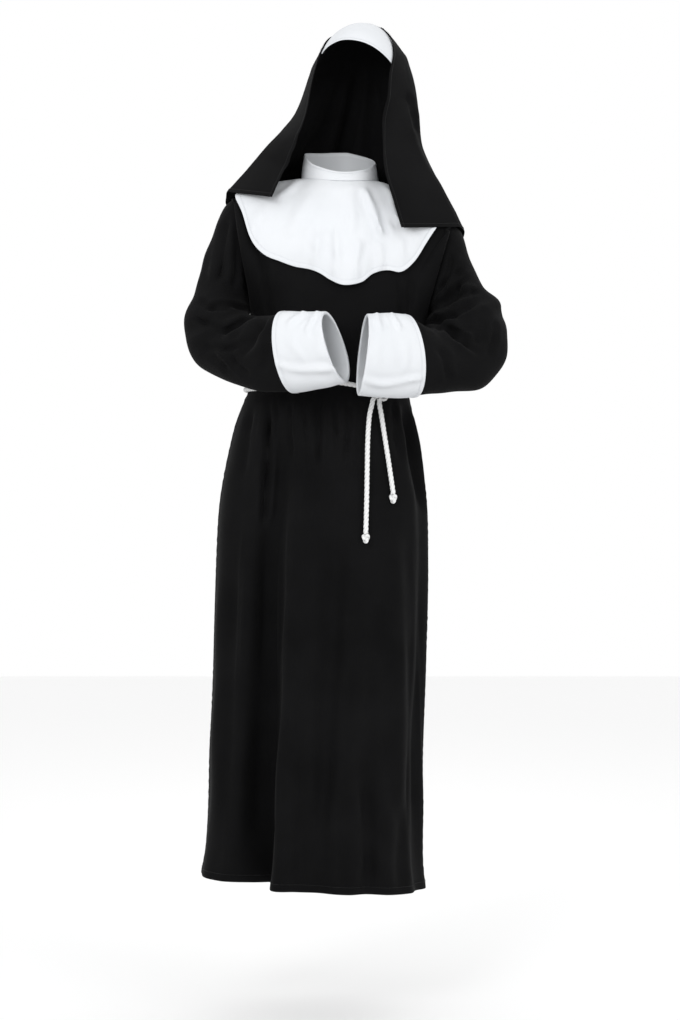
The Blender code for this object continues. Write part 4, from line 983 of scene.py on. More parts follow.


# Creases: side, how far the cloth there lies behind the object's middle, and for each crease
# its path, in points across and down the front view, its width, and its height outwards.
robeCreases = creasesFrom((front, -0.13, [
    ([(268.5, 396), (268, 430), (266, 475), (263, 530)], 0.0062, -0.0155),
    ([(277, 396), (276, 420), (274, 452)], 0.004, -0.0043),
    ([(319, 396), (319, 430), (318, 470)], 0.0055, -0.0065),
    ([(288, 396), (290, 425), (291, 462)], 0.005, -0.0051),
    ([(302, 396), (304, 418), (307, 444)], 0.004, -0.0043),
    ([(334, 396), (335, 422), (336, 450)], 0.004, -0.0043),
    ([(349, 396), (348, 425), (346, 470)], 0.006, -0.0058),
    ([(392, 396), (396, 425), (401, 468)], 0.006, -0.0051),
]), (front, -0.1, [
    ([(403, 398), (411, 440), (420, 485), (425, 520)], 0.009, -0.015),
]), (front, -0.13, [
    ([(252, 402), (246, 435), (241, 480)], 0.006, -0.0058),
]), (front, -0.14, [
    ([(291, 500), (287, 583), (281, 740), (275, 900)], 0.0026, 0.0017),
    ([(413, 530), (417, 600), (420, 700), (423, 820)], 0.0026, 0.0014),
    ([(243, 520), (238, 590), (234, 700)], 0.0026, 0.0012),
    ([(267, 490), (266, 600), (262, 740), (258, 895)], 0.02, -0.0145),
    ([(235, 540), (230, 660), (226, 860)], 0.014, -0.0072),
    ([(338, 520), (335, 600), (328, 720), (318, 860)], 0.019, -0.0116),
    ([(357, 560), (354, 640), (346, 760)], 0.012, -0.0051),
    ([(388, 540), (389, 660), (386, 800)], 0.014, -0.0058),
    ([(409, 500), (412, 640), (412, 800), (414, 885)], 0.012, -0.0072),
]), (front, -0.15, [
    ([(366, 760), (367, 840), (370, 900)], 0.013, -0.008),
    ([(306, 740), (303, 820), (300, 900)], 0.013, -0.0058),
    ([(341, 790), (343, 840), (345, 900)], 0.011, -0.0058),
    ([(400, 800), (401, 850), (403, 900)], 0.011, -0.0058),
]), (front, -0.09, [
    ([(410, 272), (411, 300), (408, 340)], 0.006, -0.004),
    ([(398, 276), (401, 310), (398, 350)], 0.005, -0.003),
    ([(262, 250), (266, 285), (272, 330)], 0.006, -0.004),
    ([(280, 320), (283, 350), (286, 390)], 0.005, -0.003),
    ([(340, 320), (338, 350), (341, 390)], 0.005, -0.003),
]), (back, 0.1, [
    (hanging(250, 244, 238, 400, 500), 0.006, -0.004),
    (hanging(270, 266, 262, 400, 520), 0.006, -0.005),
    (hanging(290, 288, 287, 398, 480), 0.005, -0.0035),
    (hanging(308, 308, 310, 398, 455), 0.004, -0.003),
    (hanging(322, 321, 319, 398, 500), 0.006, -0.004),
    (hanging(338, 339, 342, 398, 465), 0.004, -0.003),
    (hanging(355, 358, 362, 398, 510), 0.006, -0.005),
    (hanging(374, 379, 385, 398, 490), 0.005, -0.0035),
    (hanging(394, 402, 409, 400, 500), 0.006, -0.004),
]), (back, 0.12, [
    (hanging(236, 234, 228, 540, 850), 0.013, -0.005),
    (hanging(262, 262, 258, 520, 880), 0.014, -0.006),
    (hanging(292, 292, 288, 560, 860), 0.013, -0.005),
    (hanging(318, 319, 316, 640, 885), 0.012, -0.004),
    (hanging(344, 346.5, 345, 560, 840), 0.014, -0.006),
    (hanging(372, 376.5, 377, 540, 885), 0.013, -0.005),
    (hanging(398, 403, 404, 600, 870), 0.012, -0.004),
]), (back, 0.09, [
    (hanging(270, 273, 276, 300, 388), 0.006, -0.004),
    (hanging(292, 293, 294, 320, 388), 0.005, -0.003),
    (hanging(312, 312, 312, 290, 388), 0.007, -0.005),
    (hanging(330, 329.5, 329, 330, 388), 0.005, -0.003),
    (hanging(350, 349, 348, 300, 388), 0.006, -0.004),
    (hanging(372, 370, 368, 320, 388), 0.005, -0.003),
    (hanging(392, 389, 386, 290, 388), 0.006, -0.004),
]))
rightSleeveCreases = creasesFrom((front, -0.05, [
    ([(229, 214), (224, 245), (216, 293)], 0.007, -0.0081),
    ([(243, 225), (238, 258), (233, 296)], 0.007, -0.0068),
]), (front, -0.06, [
    ([(199, 300), (214, 309), (233, 312)], 0.006, -0.0068),
    ([(195, 318), (210, 328), (228, 330)], 0.006, -0.0054),
]), (front, -0.08, [
    ([(269, 317), (258, 338), (241, 361)], 0.009, -0.0121),
    ([(262, 310), (246, 322), (222, 340)], 0.007, -0.0081),
    ([(232, 352), (238, 366), (252, 380)], 0.006, -0.0054),
    ([(272, 332), (268, 352), (264, 378)], 0.007, -0.0068),
    ([(205, 345), (216, 360), (234, 374)], 0.006, -0.0054),
]), (front, -0.05, [
    ([(247, 262), (245, 285), (250, 306)], 0.006, -0.0054),
]), (back, 0.02, [
    ([(232, 215), (226, 250), (212, 300)], 0.008, -0.006),
    ([(246, 240), (240, 270), (228, 305)], 0.007, -0.005),
    ([(196, 312), (216, 318), (246, 308)], 0.008, -0.007),
    ([(198, 335), (222, 338), (256, 322)], 0.008, -0.006),
    ([(214, 362), (240, 354), (268, 330)], 0.008, -0.006),
    ([(240, 382), (262, 366), (280, 340)], 0.007, -0.005),
]), (front, -0.07, [
    ([(205, 313), (222, 306), (240, 307), (251, 312)], 0.005, -0.006),
    ([(199, 343), (222, 352), (246, 347), (268, 324)], 0.006, -0.006),
]), (front, -0.05, [
    ([(220, 246), (223, 280), (231, 292)], 0.006, -0.005),
]), (front, -0.08, [
    ([(252, 316), (236, 330), (216, 334)], 0.005, -0.005),
]), (front, -0.06, [
    ([(238, 232), (246, 262), (250, 292)], 0.005, -0.005),
]))
leftSleeveCreases = creasesFrom((front, -0.06, [
    ([(427, 314), (446, 300), (462, 284), (470, 270)], 0.006, -0.007),
    ([(430, 296), (446, 280), (456, 262)], 0.005, -0.006),
]), (front, -0.07, [
    ([(428, 320), (450, 318), (470, 306), (479, 298)], 0.005, -0.006),
    ([(438, 322), (452, 334), (468, 350), (478, 356)], 0.006, -0.008),
]), (front, -0.06, [
    ([(424, 300), (432, 270), (440, 246)], 0.005, -0.006),
]), (front, -0.05, [
    ([(440, 242), (432, 262), (423, 282)], 0.007, -0.0081),
    ([(463, 266), (455, 290), (445, 312)], 0.008, -0.0095),
]), (front, -0.06, [
    ([(450, 299), (466, 296), (481, 291)], 0.006, -0.0068),
    ([(445, 327), (455, 340), (468, 351)], 0.008, -0.0095),
    ([(431, 302), (434, 320), (441, 338)], 0.007, -0.0081),
    ([(482, 306), (480, 330), (470, 352)], 0.008, -0.0068),
]), (front, -0.08, [
    ([(436, 350), (442, 366), (452, 384)], 0.007, -0.0068),
    ([(424, 318), (438, 320), (460, 314)], 0.006, -0.0068),
]), (front, -0.06, [
    ([(494, 318), (492, 338), (486, 360)], 0.006, -0.0054),
    ([(451, 250), (447, 272), (438, 292)], 0.006, -0.0054),
]), (back, 0.02, [
    ([(455, 240), (458, 262), (470, 290)], 0.008, -0.006),
    ([(440, 250), (444, 280), (452, 304)], 0.007, -0.005),
    ([(500, 312), (476, 312), (446, 300)], 0.008, -0.007),
    ([(500, 336), (474, 332), (440, 318)], 0.008, -0.006),
    ([(492, 364), (468, 352), (436, 330)], 0.008, -0.006),
    ([(470, 386), (450, 366), (428, 344)], 0.007, -0.005),
]))
collarCreases = creasesFrom((front, -0.1, [
    ([(364, 182), (371, 204), (383, 240)], 0.006, 0.0125),
    ([(372, 182), (381, 206), (391, 238)], 0.0045, -0.0045),
    ([(383, 179), (393, 202), (402, 228)], 0.006, 0.01),
    ([(318, 226), (318, 250), (313, 272)], 0.007, 0.004),
    ([(337, 224), (337, 254), (335, 282)], 0.008, 0.0045),
]), (front, -0.11, [
    ([(357, 236), (357, 259), (353, 284)], 0.007, 0.0045),
    ([(378, 240), (380, 256), (381, 272)], 0.008, 0.004),
]), (front, -0.09, [
    ([(300, 172), (291, 184), (272, 200)], 0.006, 0.004),
    ([(312, 190), (298, 214), (283, 240)], 0.009, 0.0035),
]), (front, -0.1, [
    ([(350, 188), (352, 214), (350, 240)], 0.009, 0.0025),
]), (front, -0.09, [
    ([(262, 204), (256, 222), (252, 244)], 0.008, 0.003),
]), (front, -0.1, [
    ([(398, 206), (407, 222), (419, 246)], 0.008, 0.004),
    ([(404, 236), (401, 252), (399, 268)], 0.007, 0.003),
]), (back, 0.08, [
    ([(300, 180), (286, 205), (268, 238)], 0.009, 0.004),
    ([(324, 178), (318, 210), (312, 250)], 0.009, 0.004),
    ([(350, 178), (352, 210), (350, 255)], 0.009, 0.004),
    ([(374, 180), (386, 205), (402, 238)], 0.009, 0.004),
]))
veilCreases = creasesFrom((front, -0.03, [
    ([(318, 70), (306, 110), (284, 146), (254, 176)], 0.009, -0.005),
]), (front, -0.05, [
    ([(308, 118), (296, 148), (282, 174)], 0.006, -0.004),
]), (front, -0.03, [
    ([(300, 120), (280, 148), (246, 182)], 0.007, -0.004),
]), (front, -0.02, [
    ([(405, 88), (412, 110), (416, 134)], 0.006, -0.005),
]), (front, -0.04, [
    ([(394, 66), (396, 110), (400, 160), (412, 220)], 0.009, -0.006),
]), (front, -0.03, [
    ([(404, 120), (412, 165), (432, 222)], 0.008, -0.005),
]), (front, -0.05, [
    ([(387, 120), (389, 160), (397, 200)], 0.006, -0.004),
]), (back, 0.09, [
    ([(346, 40), (330, 90), (300, 150), (262, 190)], 0.012, -0.007),
    ([(356, 34), (346, 90), (330, 150), (318, 230), (314, 300)], 0.012, -0.008),
    ([(366, 34), (366, 90), (356, 160), (350, 240), (352, 310)], 0.012, -0.008),
    ([(378, 40), (388, 95), (396, 150), (398, 220), (396, 280)], 0.012, -0.008),
    ([(384, 46), (402, 100), (418, 160), (438, 220)], 0.01, -0.006),
    ([(340, 60), (314, 110), (292, 160), (284, 220)], 0.01, -0.006),
]))
cuffRightCreases = creasesFrom((front, -0.18, [
    ([(313, 309), (305, 318.5), (294, 331)], 0.0036, -0.0013),
    ([(320, 309), (313, 322), (304, 337)], 0.0046, 0.004),
    ([(306, 309), (297, 318), (286, 328)], 0.0046, 0.0038),
    ([(268, 362), (298, 372), (345, 369)], 0.0055, 0.0046),
]), (front, -0.2, [
    ([(331, 369), (344, 363), (356, 356)], 0.003, -0.001),
]), (front, -0.18, [
    ([(292, 336), (296, 352), (306, 366)], 0.007, 0.0014),
    ([(322, 330), (318, 346), (322, 362)], 0.007, 0.0012),
]), (back, -0.12, [
    ([(300, 318), (298, 350), (306, 384)], 0.007, 0.002),
    ([(326, 318), (330, 345), (338, 370)], 0.007, 0.0016),
]))
cuffLeftCreases = creasesFrom((front, -0.18, [
    ([(381, 310), (385, 320), (391, 331)], 0.0034, -0.0012),
    ([(374, 310), (377, 321), (383, 334)], 0.0046, 0.0038),
    ([(390, 310), (394, 321), (400, 334)], 0.0046, 0.0038),
    ([(356, 380), (388, 385), (430, 377)], 0.0055, 0.0046),
    ([(404, 338), (406, 356), (402, 374)], 0.007, 0.0014),
    ([(378, 340), (376, 356), (382, 374)], 0.007, 0.0012),
]), (back, -0.12, [
    ([(384, 320), (388, 350), (384, 388)], 0.007, 0.002),
    ([(404, 324), (410, 350), (408, 388)], 0.007, 0.0016),
]))


# the robe
def downAt(z):                                              # place down a panel, from a height
    rows = robe["lowerRows"]
    for i, (high, low) in enumerate(zip(rows, rows[1:])):
        if z >= low:
            return 1 + i + (high - z) / (high - low)
    return float(len(rows))


robeCloth = {"rowStep": 0.014, "upperRows": 18, "finer": 2, "hem": 0.014, "ripple": 0.0016, "rippleSize": 0.17,
             "held": 0.022, "dipRows": 24, "armholeDip": 0.0008, "armholeFade": 0.1,
             "cornerReach": 0.010, "cornerEvening": 0.7, "evenings": 40,
             "sunk": 0.0035, "sunkAt": 0.067, "sunkWidth": 0.022, "sunkTo": (0.0, 0.01, -0.14),
             "sunkFoot": -0.085, "sunkFade": 0.03,
             "tip": (-0.187, -0.055, -0.060), "tipReach": 0.040, "tipFade": 0.02, "tipEvenings": 16,
             "lap": 0.0013, "lapUnder": 0.0006, "lapDepth": 0.004, "lapTop": -0.16, "lapFade": 0.03}
evening = 0.6                                               # how much of the way each evening step goes


def shoulderCorner(net):                                    # 1 where the shoulder meets the neck, 0 elsewhere
    away = (np.abs(net[..., 0] - neck["centre"].x) - robeCloth["sunkAt"]) / robeCloth["sunkWidth"]
    return np.exp(-away * away) * smooth((net[..., 2] - robeCloth["sunkFoot"]) / robeCloth["sunkFade"])


def robeNet(face):
    lower = robe["yokeFoot"] - robe["hem"]
    count = round(lower / robeCloth["rowStep"])
    downs = spread(0, 1, robeCloth["upperRows"])
    downs += [downAt(robe["yokeFoot"] - lower * i / count) for i in range(1, count + 1)]
    return finerNet(panelRows(face, downs, robeCloth["finer"]), weave["downRobe"], weave["acrossRobe"])


def finishedRobe(face, seed):
    net = robeNet(face)
    net = rippled(net, outward(net, False), seed, robeCloth["rippleSize"], robeCloth["ripple"])
    net = crinkled(net, outward(net, False), robeCreases, seed)
    edges = robeNet(face)                                   # seams stay where the neighbours meet them
    hold = np.ones(net.shape[:2])
    for end in ("top", "left", "right"):
        reach = turnedBack(fromEdge(turned(edges, end)), end)
        hold *= smooth(reach / robeCloth["held"])
    net = edges + (net - edges) * hold[..., None]
    # the armhole's columns alone are dipped at the top
    places = np.abs(panelPlaces(robeCloth["finer"]))
    place = np.interp(np.linspace(0, len(places) - 1, net.shape[1]), np.arange(len(places)), places)
    low = smooth(np.arange(net.shape[0]) / robeCloth["dipRows"] - 0.5)[:, None]
    for end in ("left", "right"):
        net = seamDip(net, False, end, seed=seed + 7, where=low)
    net = seamDip(net, False, "top", depth=robeCloth["armholeDip"], seed=seed + 9,
                  where=smooth((place - robe["shoulderColumn"]) / robeCloth["armholeFade"])[None])
    # sunk where the shoulder meets the neck, under the collar
    reach = turnedBack(fromEdge(turned(net, "top")), "top")
    corner = shoulderCorner(net) * smooth(reach / robeCloth["cornerReach"])
    net = evened(net, robeCloth["cornerEvening"] * corner, robeCloth["evenings"])
    inward = robeCloth["sunkTo"] - net
    net = net + inward / np.linalg.norm(inward, axis=2, keepdims=True) * (robeCloth["sunk"] * corner)[..., None]
    if face == front:                                       # its side edges lie just under the back's
        under = (smooth(1 + net[..., 1] / robeCloth["lapDepth"])
                 * smooth((robeCloth["lapTop"] - net[..., 2]) / robeCloth["lapFade"]))
        net[..., 1] += robeCloth["lap"] * under
        net[..., 0] -= np.sign(net[..., 0]) * robeCloth["lapUnder"] * under
    return withHem(net, False, robeCloth["hem"])


# the sleeves and their turned cuffs
sleeveCloth = {"sides": 32, "rings": 50, "end": 10.9, "cutAt": 0.90, "ripple": 0.0011, "rippleSize": 0.09,
               "held": 0.022, "armSteps": 2.1, "armTurns": 0.17,
               "underarms": ((1.9, (0.0100, 0.0, -0.0030)), (2.0, (-0.0100, 0.0, -0.0060))),
               "crook": (0.157, -0.033, -0.262), "crookSize": 0.034, "crookTo": (-0.0070, 0.0030, -0.0010)}
cuffs = {"top": 9.0, "lining": 9.7, "sides": 32, "hem": 0.009, "hemThick": 0.0004, "wall": 0.0011,
         "ripple": 0.0005, "rippleSize": 0.07, "tuck": 0.0007, "stand": 0.0016, "standSteps": 0.9,
         "finer": 3, "held": 0.012,
         "outerRows": 12, "outerEnd": 10.85, "innerRows": 7, "innerEnd": 10.88,
         "foldSteps": [10.93, 10.985, 11.0, 11.0, 10.985, 10.95],
         "foldReach": [1, 0.93, 0.55, -1.05, -1.6, -1.78], "inside": -1.79}


def sleeveShift(points, rows, seed, size, height, hold):
    shaped = rippled(points, outward(points, True), seed, size, height, 1.0)
    shaped = crinkled(shaped, outward(shaped, True), rows, seed)
    return points + (shaped - points) * hold


def finishedSleeve(table, creases, rows, seed):
    steps = spread(0, sleeveCloth["end"], sleeveCloth["rings"])
    net = finerNet(sleeveGrid(table, creases, steps, sleeveCloth["sides"]),
                   weave["downSleeve"], weave["acrossSleeve"], True)
    reach = turnedBack(fromEdge(turned(net, "top")), "top")
    step = np.linspace(0, sleeveCloth["end"], len(net))[:, None]
    hold = smooth(reach / sleeveCloth["held"]) * smooth((cuffs["top"] - step) / 0.5)
    net = sleeveShift(net, rows, seed, sleeveCloth["rippleSize"], sleeveCloth["ripple"], hold[..., None])
    net = net - outward(net, True) * (cuffs["tuck"] * smooth((step - cuffs["top"]) / 0.15))[..., None]
    # the underarm lies against the robe
    middle, shift = sleeveCloth["underarms"][table is leftSleeve]
    turnAt = np.linspace(0, 1, net.shape[1], endpoint=False)
    lean = np.outer([bump((s - middle) / sleeveCloth["armSteps"]) for s in step[:, 0]],
                    [bump(min(t, 1 - t) / sleeveCloth["armTurns"]) for t in turnAt])
    net = net + lean[..., None] * np.array(shift)
    apart = np.linalg.norm(net - np.array(sleeveCloth["crook"]), axis=2) / sleeveCloth["crookSize"]
    net = net + smooth(1 - apart)[..., None] * np.array(sleeveCloth["crookTo"])
    return seamDip(net, True, "top", seed=seed)


def ringNormals(table, creases, steps, sides):              # outward directions shared by sleeve and cuff
    result = []
    for step in steps:
        low, high = max(step - 0.25, 0), min(step + 0.25, 11)
        before, here, after = (toArray([line])[0] for line in
                               sleeveGrid(table, creases, [low, (low + high) / 2, high], sides))
        normal = outward(np.array([before, here, after]), True)[1]
        radial = here - here.mean(axis=0)
        normal = normal + radial / np.linalg.norm(radial, axis=1, keepdims=True)
        result.append(normal / np.linalg.norm(normal, axis=1, keepdims=True))
    return np.array(result)


def cuffLayer(table, creases, steps, distances):
    grid = toArray(sleeveGrid(table, creases, steps, cuffs["sides"]))
    normals = ringNormals(table, creases, steps, cuffs["sides"])
    return grid + normals * np.array(distances)[:, None, None]


def finishedCuff(name, table, creases, rows, seed):
    lay = cloth["seam"] + cloth["wall"]
    outSteps = spread(cuffs["top"], cuffs["outerEnd"], cuffs["outerRows"])
    inSteps = spread(cuffs["innerEnd"], cuffs["lining"], cuffs["innerRows"])
    steps = outSteps + cuffs["foldSteps"] + inSteps
    stand = [lay + cuffs["stand"] * ease((sleeveCloth["end"] - step) / cuffs["standSteps"])
             for step in outSteps]
    reach = stand + [lay * part for part in cuffs["foldReach"]] + [lay * cuffs["inside"]] * len(inSteps)
    outer = finerNet(cuffLayer(table, creases, steps, reach), cuffs["finer"], cuffs["finer"], True)
    rise = turnedBack(fromEdge(turned(outer, "top")), "top")
    hold = smooth(rise / cuffs["held"])[..., None] * 0.8 + 0.2
    outer = sleeveShift(outer, rows, seed, cuffs["rippleSize"], cuffs["ripple"], hold)
    outer = withHem(outer, True, cuffs["hem"], "top", cuffs["hemThick"])
    inner = outer - outward(outer, True) * cuffs["wall"]
    return outer, loopPiece(name, outer, inner, whiteCloth, True)


# cape collar, neck band, headband and veil
collarCloth = {"hem": 0.010, "gap": 0.0018, "reach": 0.006, "clear": 0.0006, "freeBelow": -0.065,
               "ripple": 0.0009, "rippleSize": 0.10, "held": 0.02, "dip": 0.0004, "cornerReach": 0.006,
               "evenings": 14}
bandCloth = {"hem": 0.0055, "hemThick": 0.0004, "wall": 0.0011, "rows": 12, "columns": 160, "finer": 2,
             "over": 0.0006, "belly": 0.0012, "stand": 0.0028, "lean": 0.006,
             "overlap": 0.0012, "overlapAt": 17, "overlapSlope": 57, "overlapRise": 2.5, "overlapEnd": 70,
             "overlapFade": 60}
headCloth = {"hem": 0.0050, "hemThick": 0.0005, "sides": 110, "ups": 26, "wall": 0.0010,
             "rightEnd": math.radians(43), "ripple": 0.0003, "rippleSize": 0.06, "seed": 61}
veilCloth = {"hem": 0.008, "gap": 0.0022, "clear": 0.0006, "reach": 0.008, "reachAgain": 0.004, "firstRow": 6,
             "shoulders": ((-0.200, 0.000, -0.025), (0.205, 0.000, -0.075)),
             "ripple": 0.0010, "rippleSize": 0.10, "heldTo": 0.004, "held": 0.035, "dip": 0.0002,
             "pucker": 0.0005, "evenReach": 0.075, "evenFade": 0.03, "evenings": 14}


def finishedCollar(coarse, robeTree, seed):
    net = finerNet(coarse, weave["downCollar"], weave["acrossCollar"], True)
    shaped = rippled(net, outward(net, True), seed, collarCloth["rippleSize"], collarCloth["ripple"])
    shaped = crinkled(shaped, outward(shaped, True), collarCreases, seed)
    reach = turnedBack(fromEdge(turned(net, "top")), "top")
    net = net + (shaped - net) * smooth(reach / collarCloth["held"])[..., None]
    net = seamDip(net, True, "top", depth=collarCloth["dip"], pucker=collarCloth["dip"], seed=seed)
    weight = evening * shoulderCorner(net) * smooth(reach / collarCloth["cornerReach"])
    net = evened(net, weight, collarCloth["evenings"], True)
    net = keptClear(net, robeTree, collarCloth["gap"] + weave["wall"], 1, collarCloth["reach"])
    return withHem(net, True, collarCloth["hem"])


def finishedNeckBand():
    lines = []
    for height in spread(1, 0, bandCloth["rows"]):
        line = []
        for column in range(bandCloth["columns"]):
            degrees = -180 + 360 * column / bandCloth["columns"]
            row = readTable(neckRows, degrees)
            low = row.robeZ + collar["rest"] + cloth["seam"] - bandCloth["over"]    # at the collar's edge
            belly = bandCloth["belly"] * math.sin(math.pi * height)     # the band swells between its edges
            past = degrees + bandCloth["overlapAt"] - bandCloth["overlapSlope"] * height
            over = (bandCloth["overlap"] * ease(past / bandCloth["overlapRise"])
                    * ease((bandCloth["overlapEnd"] - degrees) / bandCloth["overlapFade"]))
            stand = bandCloth["stand"] - bandCloth["lean"] * height
            line.append(neckPoint(degrees, mix(low, row.bandZ, height), stand + belly + over))
        lines.append(line)
    net = finer(toArray(lines), bandCloth["finer"])
    return withHem(net, True, bandCloth["hem"], "top", bandCloth["hemThick"])


def finishedHeadband():
    sides = spread(-headCloth["rightEnd"], headband["side"], headCloth["sides"])
    ups = spread(headband["crown"], headband["face"], headCloth["ups"])
    net = toArray([[headPoint(side, up, headband["rest"]) for side in sides] for up in ups])
    net = rippled(net, outward(net, False), headCloth["seed"], headCloth["rippleSize"], headCloth["ripple"])
    for end in ("top", "foot"):
        net = withHem(net, False, headCloth["hem"], end, headCloth["hemThick"])
    return net


def finishedVeil(coarse, underTree, seed):
    net = finerNet([line[::-1] for line in coarse], weave["downVeil"], weave["acrossVeil"])
    shaped = rippled(net, outward(net, False), seed, veilCloth["rippleSize"], veilCloth["ripple"])
    shaped = crinkled(shaped, outward(shaped, False), veilCreases, seed)
    reach = turnedBack(fromEdge(turned(net, "top")), "top")
    net = net + (shaped - net) * smooth((reach - veilCloth["heldTo"]) / veilCloth["held"])[..., None]
    net = seamDip(net, False, "top", depth=veilCloth["dip"], pucker=veilCloth["pucker"], seed=seed)
    net = keptClear(net, underTree, veilCloth["gap"] + weave["wall"], veilCloth["firstRow"], veilCloth["reach"])
    near = np.minimum.reduce([np.linalg.norm(net - spot, axis=2) for spot in veilCloth["shoulders"]])
    weight = evening * smooth((veilCloth["evenReach"] - near) / veilCloth["evenFade"])
    net = evened(net, weight, veilCloth["evenings"])
    net = keptClear(net, underTree, veilCloth["clear"] + weave["wall"], veilCloth["firstRow"],
                    veilCloth["reachAgain"])
    for end in ("left", "right", "foot"):
        net = withHem(net, False, veilCloth["hem"], end)
    return net


coarseRobe = [(panelGrid(face, finerBy), False) for face in (front, back) for finerBy in (1, 2)]
coarseSleeves = [(sleeveGrid(rightSleeve, rightCreases), True), (sleeveGrid(leftSleeve, leftCreases), True)]
coarseCollar = collarGrid(surfaceTree(coarseRobe))
coarseVeil = veilGrid(surfaceTree(coarseRobe + coarseSleeves), surfaceTree([(coarseCollar, True)]))
print("nun habit: main forms laid out")

nets = {"robeFront": finishedRobe(front, 11), "robeBack": finishedRobe(back, 12)}
print("nun habit: robe folded")
nets["sleeveRight"] = finishedSleeve(rightSleeve, rightCreases, rightSleeveCreases, 21)
nets["sleeveLeft"] = finishedSleeve(leftSleeve, leftCreases, leftSleeveCreases, 22)
robeTree = netTree([(nets["robeFront"], False), (nets["robeBack"], False)])
nets["collar"] = finishedCollar(coarseCollar, robeTree, 31)
collarTree = netTree([(nets["collar"], True)])
for name in ("robeFront", "robeBack"):                      # all but the neck's own seam
    lower = nets[name][..., 2:] < collarCloth["freeBelow"]
    below = keptUnder(nets[name], collarTree, weave["wall"] + collarCloth["clear"])
    nets[name] = np.where(lower, below, nets[name])
nets["neckBand"] = finishedNeckBand()
nets["headband"] = finishedHeadband()
under = netTree([(nets[name], closed) for name, closed in
                 (("robeFront", False), ("robeBack", False), ("sleeveRight", True), ("sleeveLeft", True),
                  ("collar", True))])
nets["veil"] = finishedVeil(coarseVeil, under, 41)
veilTree = netTree([(nets["veil"], False)])
for name in ("robeFront", "robeBack", "sleeveRight", "sleeveLeft", "collar"):
    nets[name] = keptUnder(nets[name], veilTree, weave["wall"] + veilCloth["clear"])
near = np.linalg.norm(nets["robeFront"] - np.array(robeCloth["tip"]), axis=2)
weight = evening * smooth((robeCloth["tipReach"] - near) / robeCloth["tipFade"])
nets["robeFront"] = evened(nets["robeFront"], weight, robeCloth["tipEvenings"])
nets["cuffRight"], cuffRight = finishedCuff("cuff_right_cloth", rightSleeve, rightCreases, cuffRightCreases, 51)
nets["cuffLeft"], cuffLeft = finishedCuff("cuff_left_cloth", leftSleeve, leftCreases, cuffLeftCreases, 52)
for name in ("sleeveRight", "sleeveLeft"):                  # each sleeve ends between its cuff and the lining
    nets[name] = nets[name][:round(len(nets[name]) * sleeveCloth["cutAt"])]
print("nun habit: sleeves, collar and veil folded")

robeFront = clothPiece("robe_front_cloth", nets["robeFront"], blackCloth)
robeBack = clothPiece("robe_back_cloth", nets["robeBack"], blackCloth)
sleeveRight = clothPiece("sleeve_right_cloth", nets["sleeveRight"], blackCloth, True)
sleeveLeft = clothPiece("sleeve_left_cloth", nets["sleeveLeft"], blackCloth, True)
capeCollar = clothPiece("cape_collar_cloth", nets["collar"], whiteCloth, True)
neckBand = clothPiece("neck_band_cloth", nets["neckBand"], whiteCloth, True, bandCloth["wall"])
browBand = clothPiece("headband_cloth", nets["headband"], whiteCloth, False, headCloth["wall"])
veilPiece = clothPiece("veil_cloth", nets["veil"], blackCloth)
print("nun habit: cloth pieces made")


# rope belt: three twisted strands round a path, its knots and two free ends
ropeWork = {"strands": 3, "lay": 0.024, "strandSize": 0.56, "strandOffset": 0.45, "step": 0.0016, "sides": 10,
            "pathPoints": 60, "bowPoints": 40, "knotPoints": 64, "knotStart": 0.03, "knotWide": 2.76,
            "knotHigh": 3.0}
beltKnot = {"x": 0.062, "z": -0.388, "size": Vector((0.0125, 0.0085, 0.0100)), "rope": 0.0080,
            "bowRope": 0.0055,
            "bow": [(0.062, -0.3860), (0.069, -0.3835), (0.0775, -0.3850), (0.0815, -0.3915), (0.0785, -0.3985),
                    (0.0715, -0.3990), (0.0665, -0.3920)]}
tipKnot = {"size": Vector((0.0074, 0.0068, 0.0098)), "rope": 0.0060, "inside": 0.0025}
ropeRests = {"ends": 0.0060, "bow": 0.0020, "loop": 0.0007, "knot": 0.0009}     # how far each lies off the robe


def openTree(name, values, finish):                         # geometry in and out, numbers, and a material
    tree = bpy.data.node_groups.new(name, "GeometryNodeTree")
    face = tree.interface
    face.new_socket("Geometry", in_out="INPUT", socket_type="NodeSocketGeometry")
    for label, value in values.items():
        face.new_socket(label, in_out="INPUT", socket_type="NodeSocketFloat").default_value = value
    face.new_socket(finish, in_out="INPUT", socket_type="NodeSocketMaterial")
    face.new_socket("Geometry", in_out="OUTPUT", socket_type="NodeSocketGeometry")
    return tree, tree.nodes.new("NodeGroupInput").outputs


def closeTree(tree, source, material):                      # instances made real, with their material
    real = node(tree, "GeometryNodeRealizeInstances", {"Geometry": source})
    finish = node(tree, "GeometryNodeSetMaterial", {"Geometry": real.outputs["Geometry"], "Material": material})
    tree.links.new(finish.outputs["Geometry"], tree.nodes.new("NodeGroupOutput").inputs["Geometry"])
    return tree


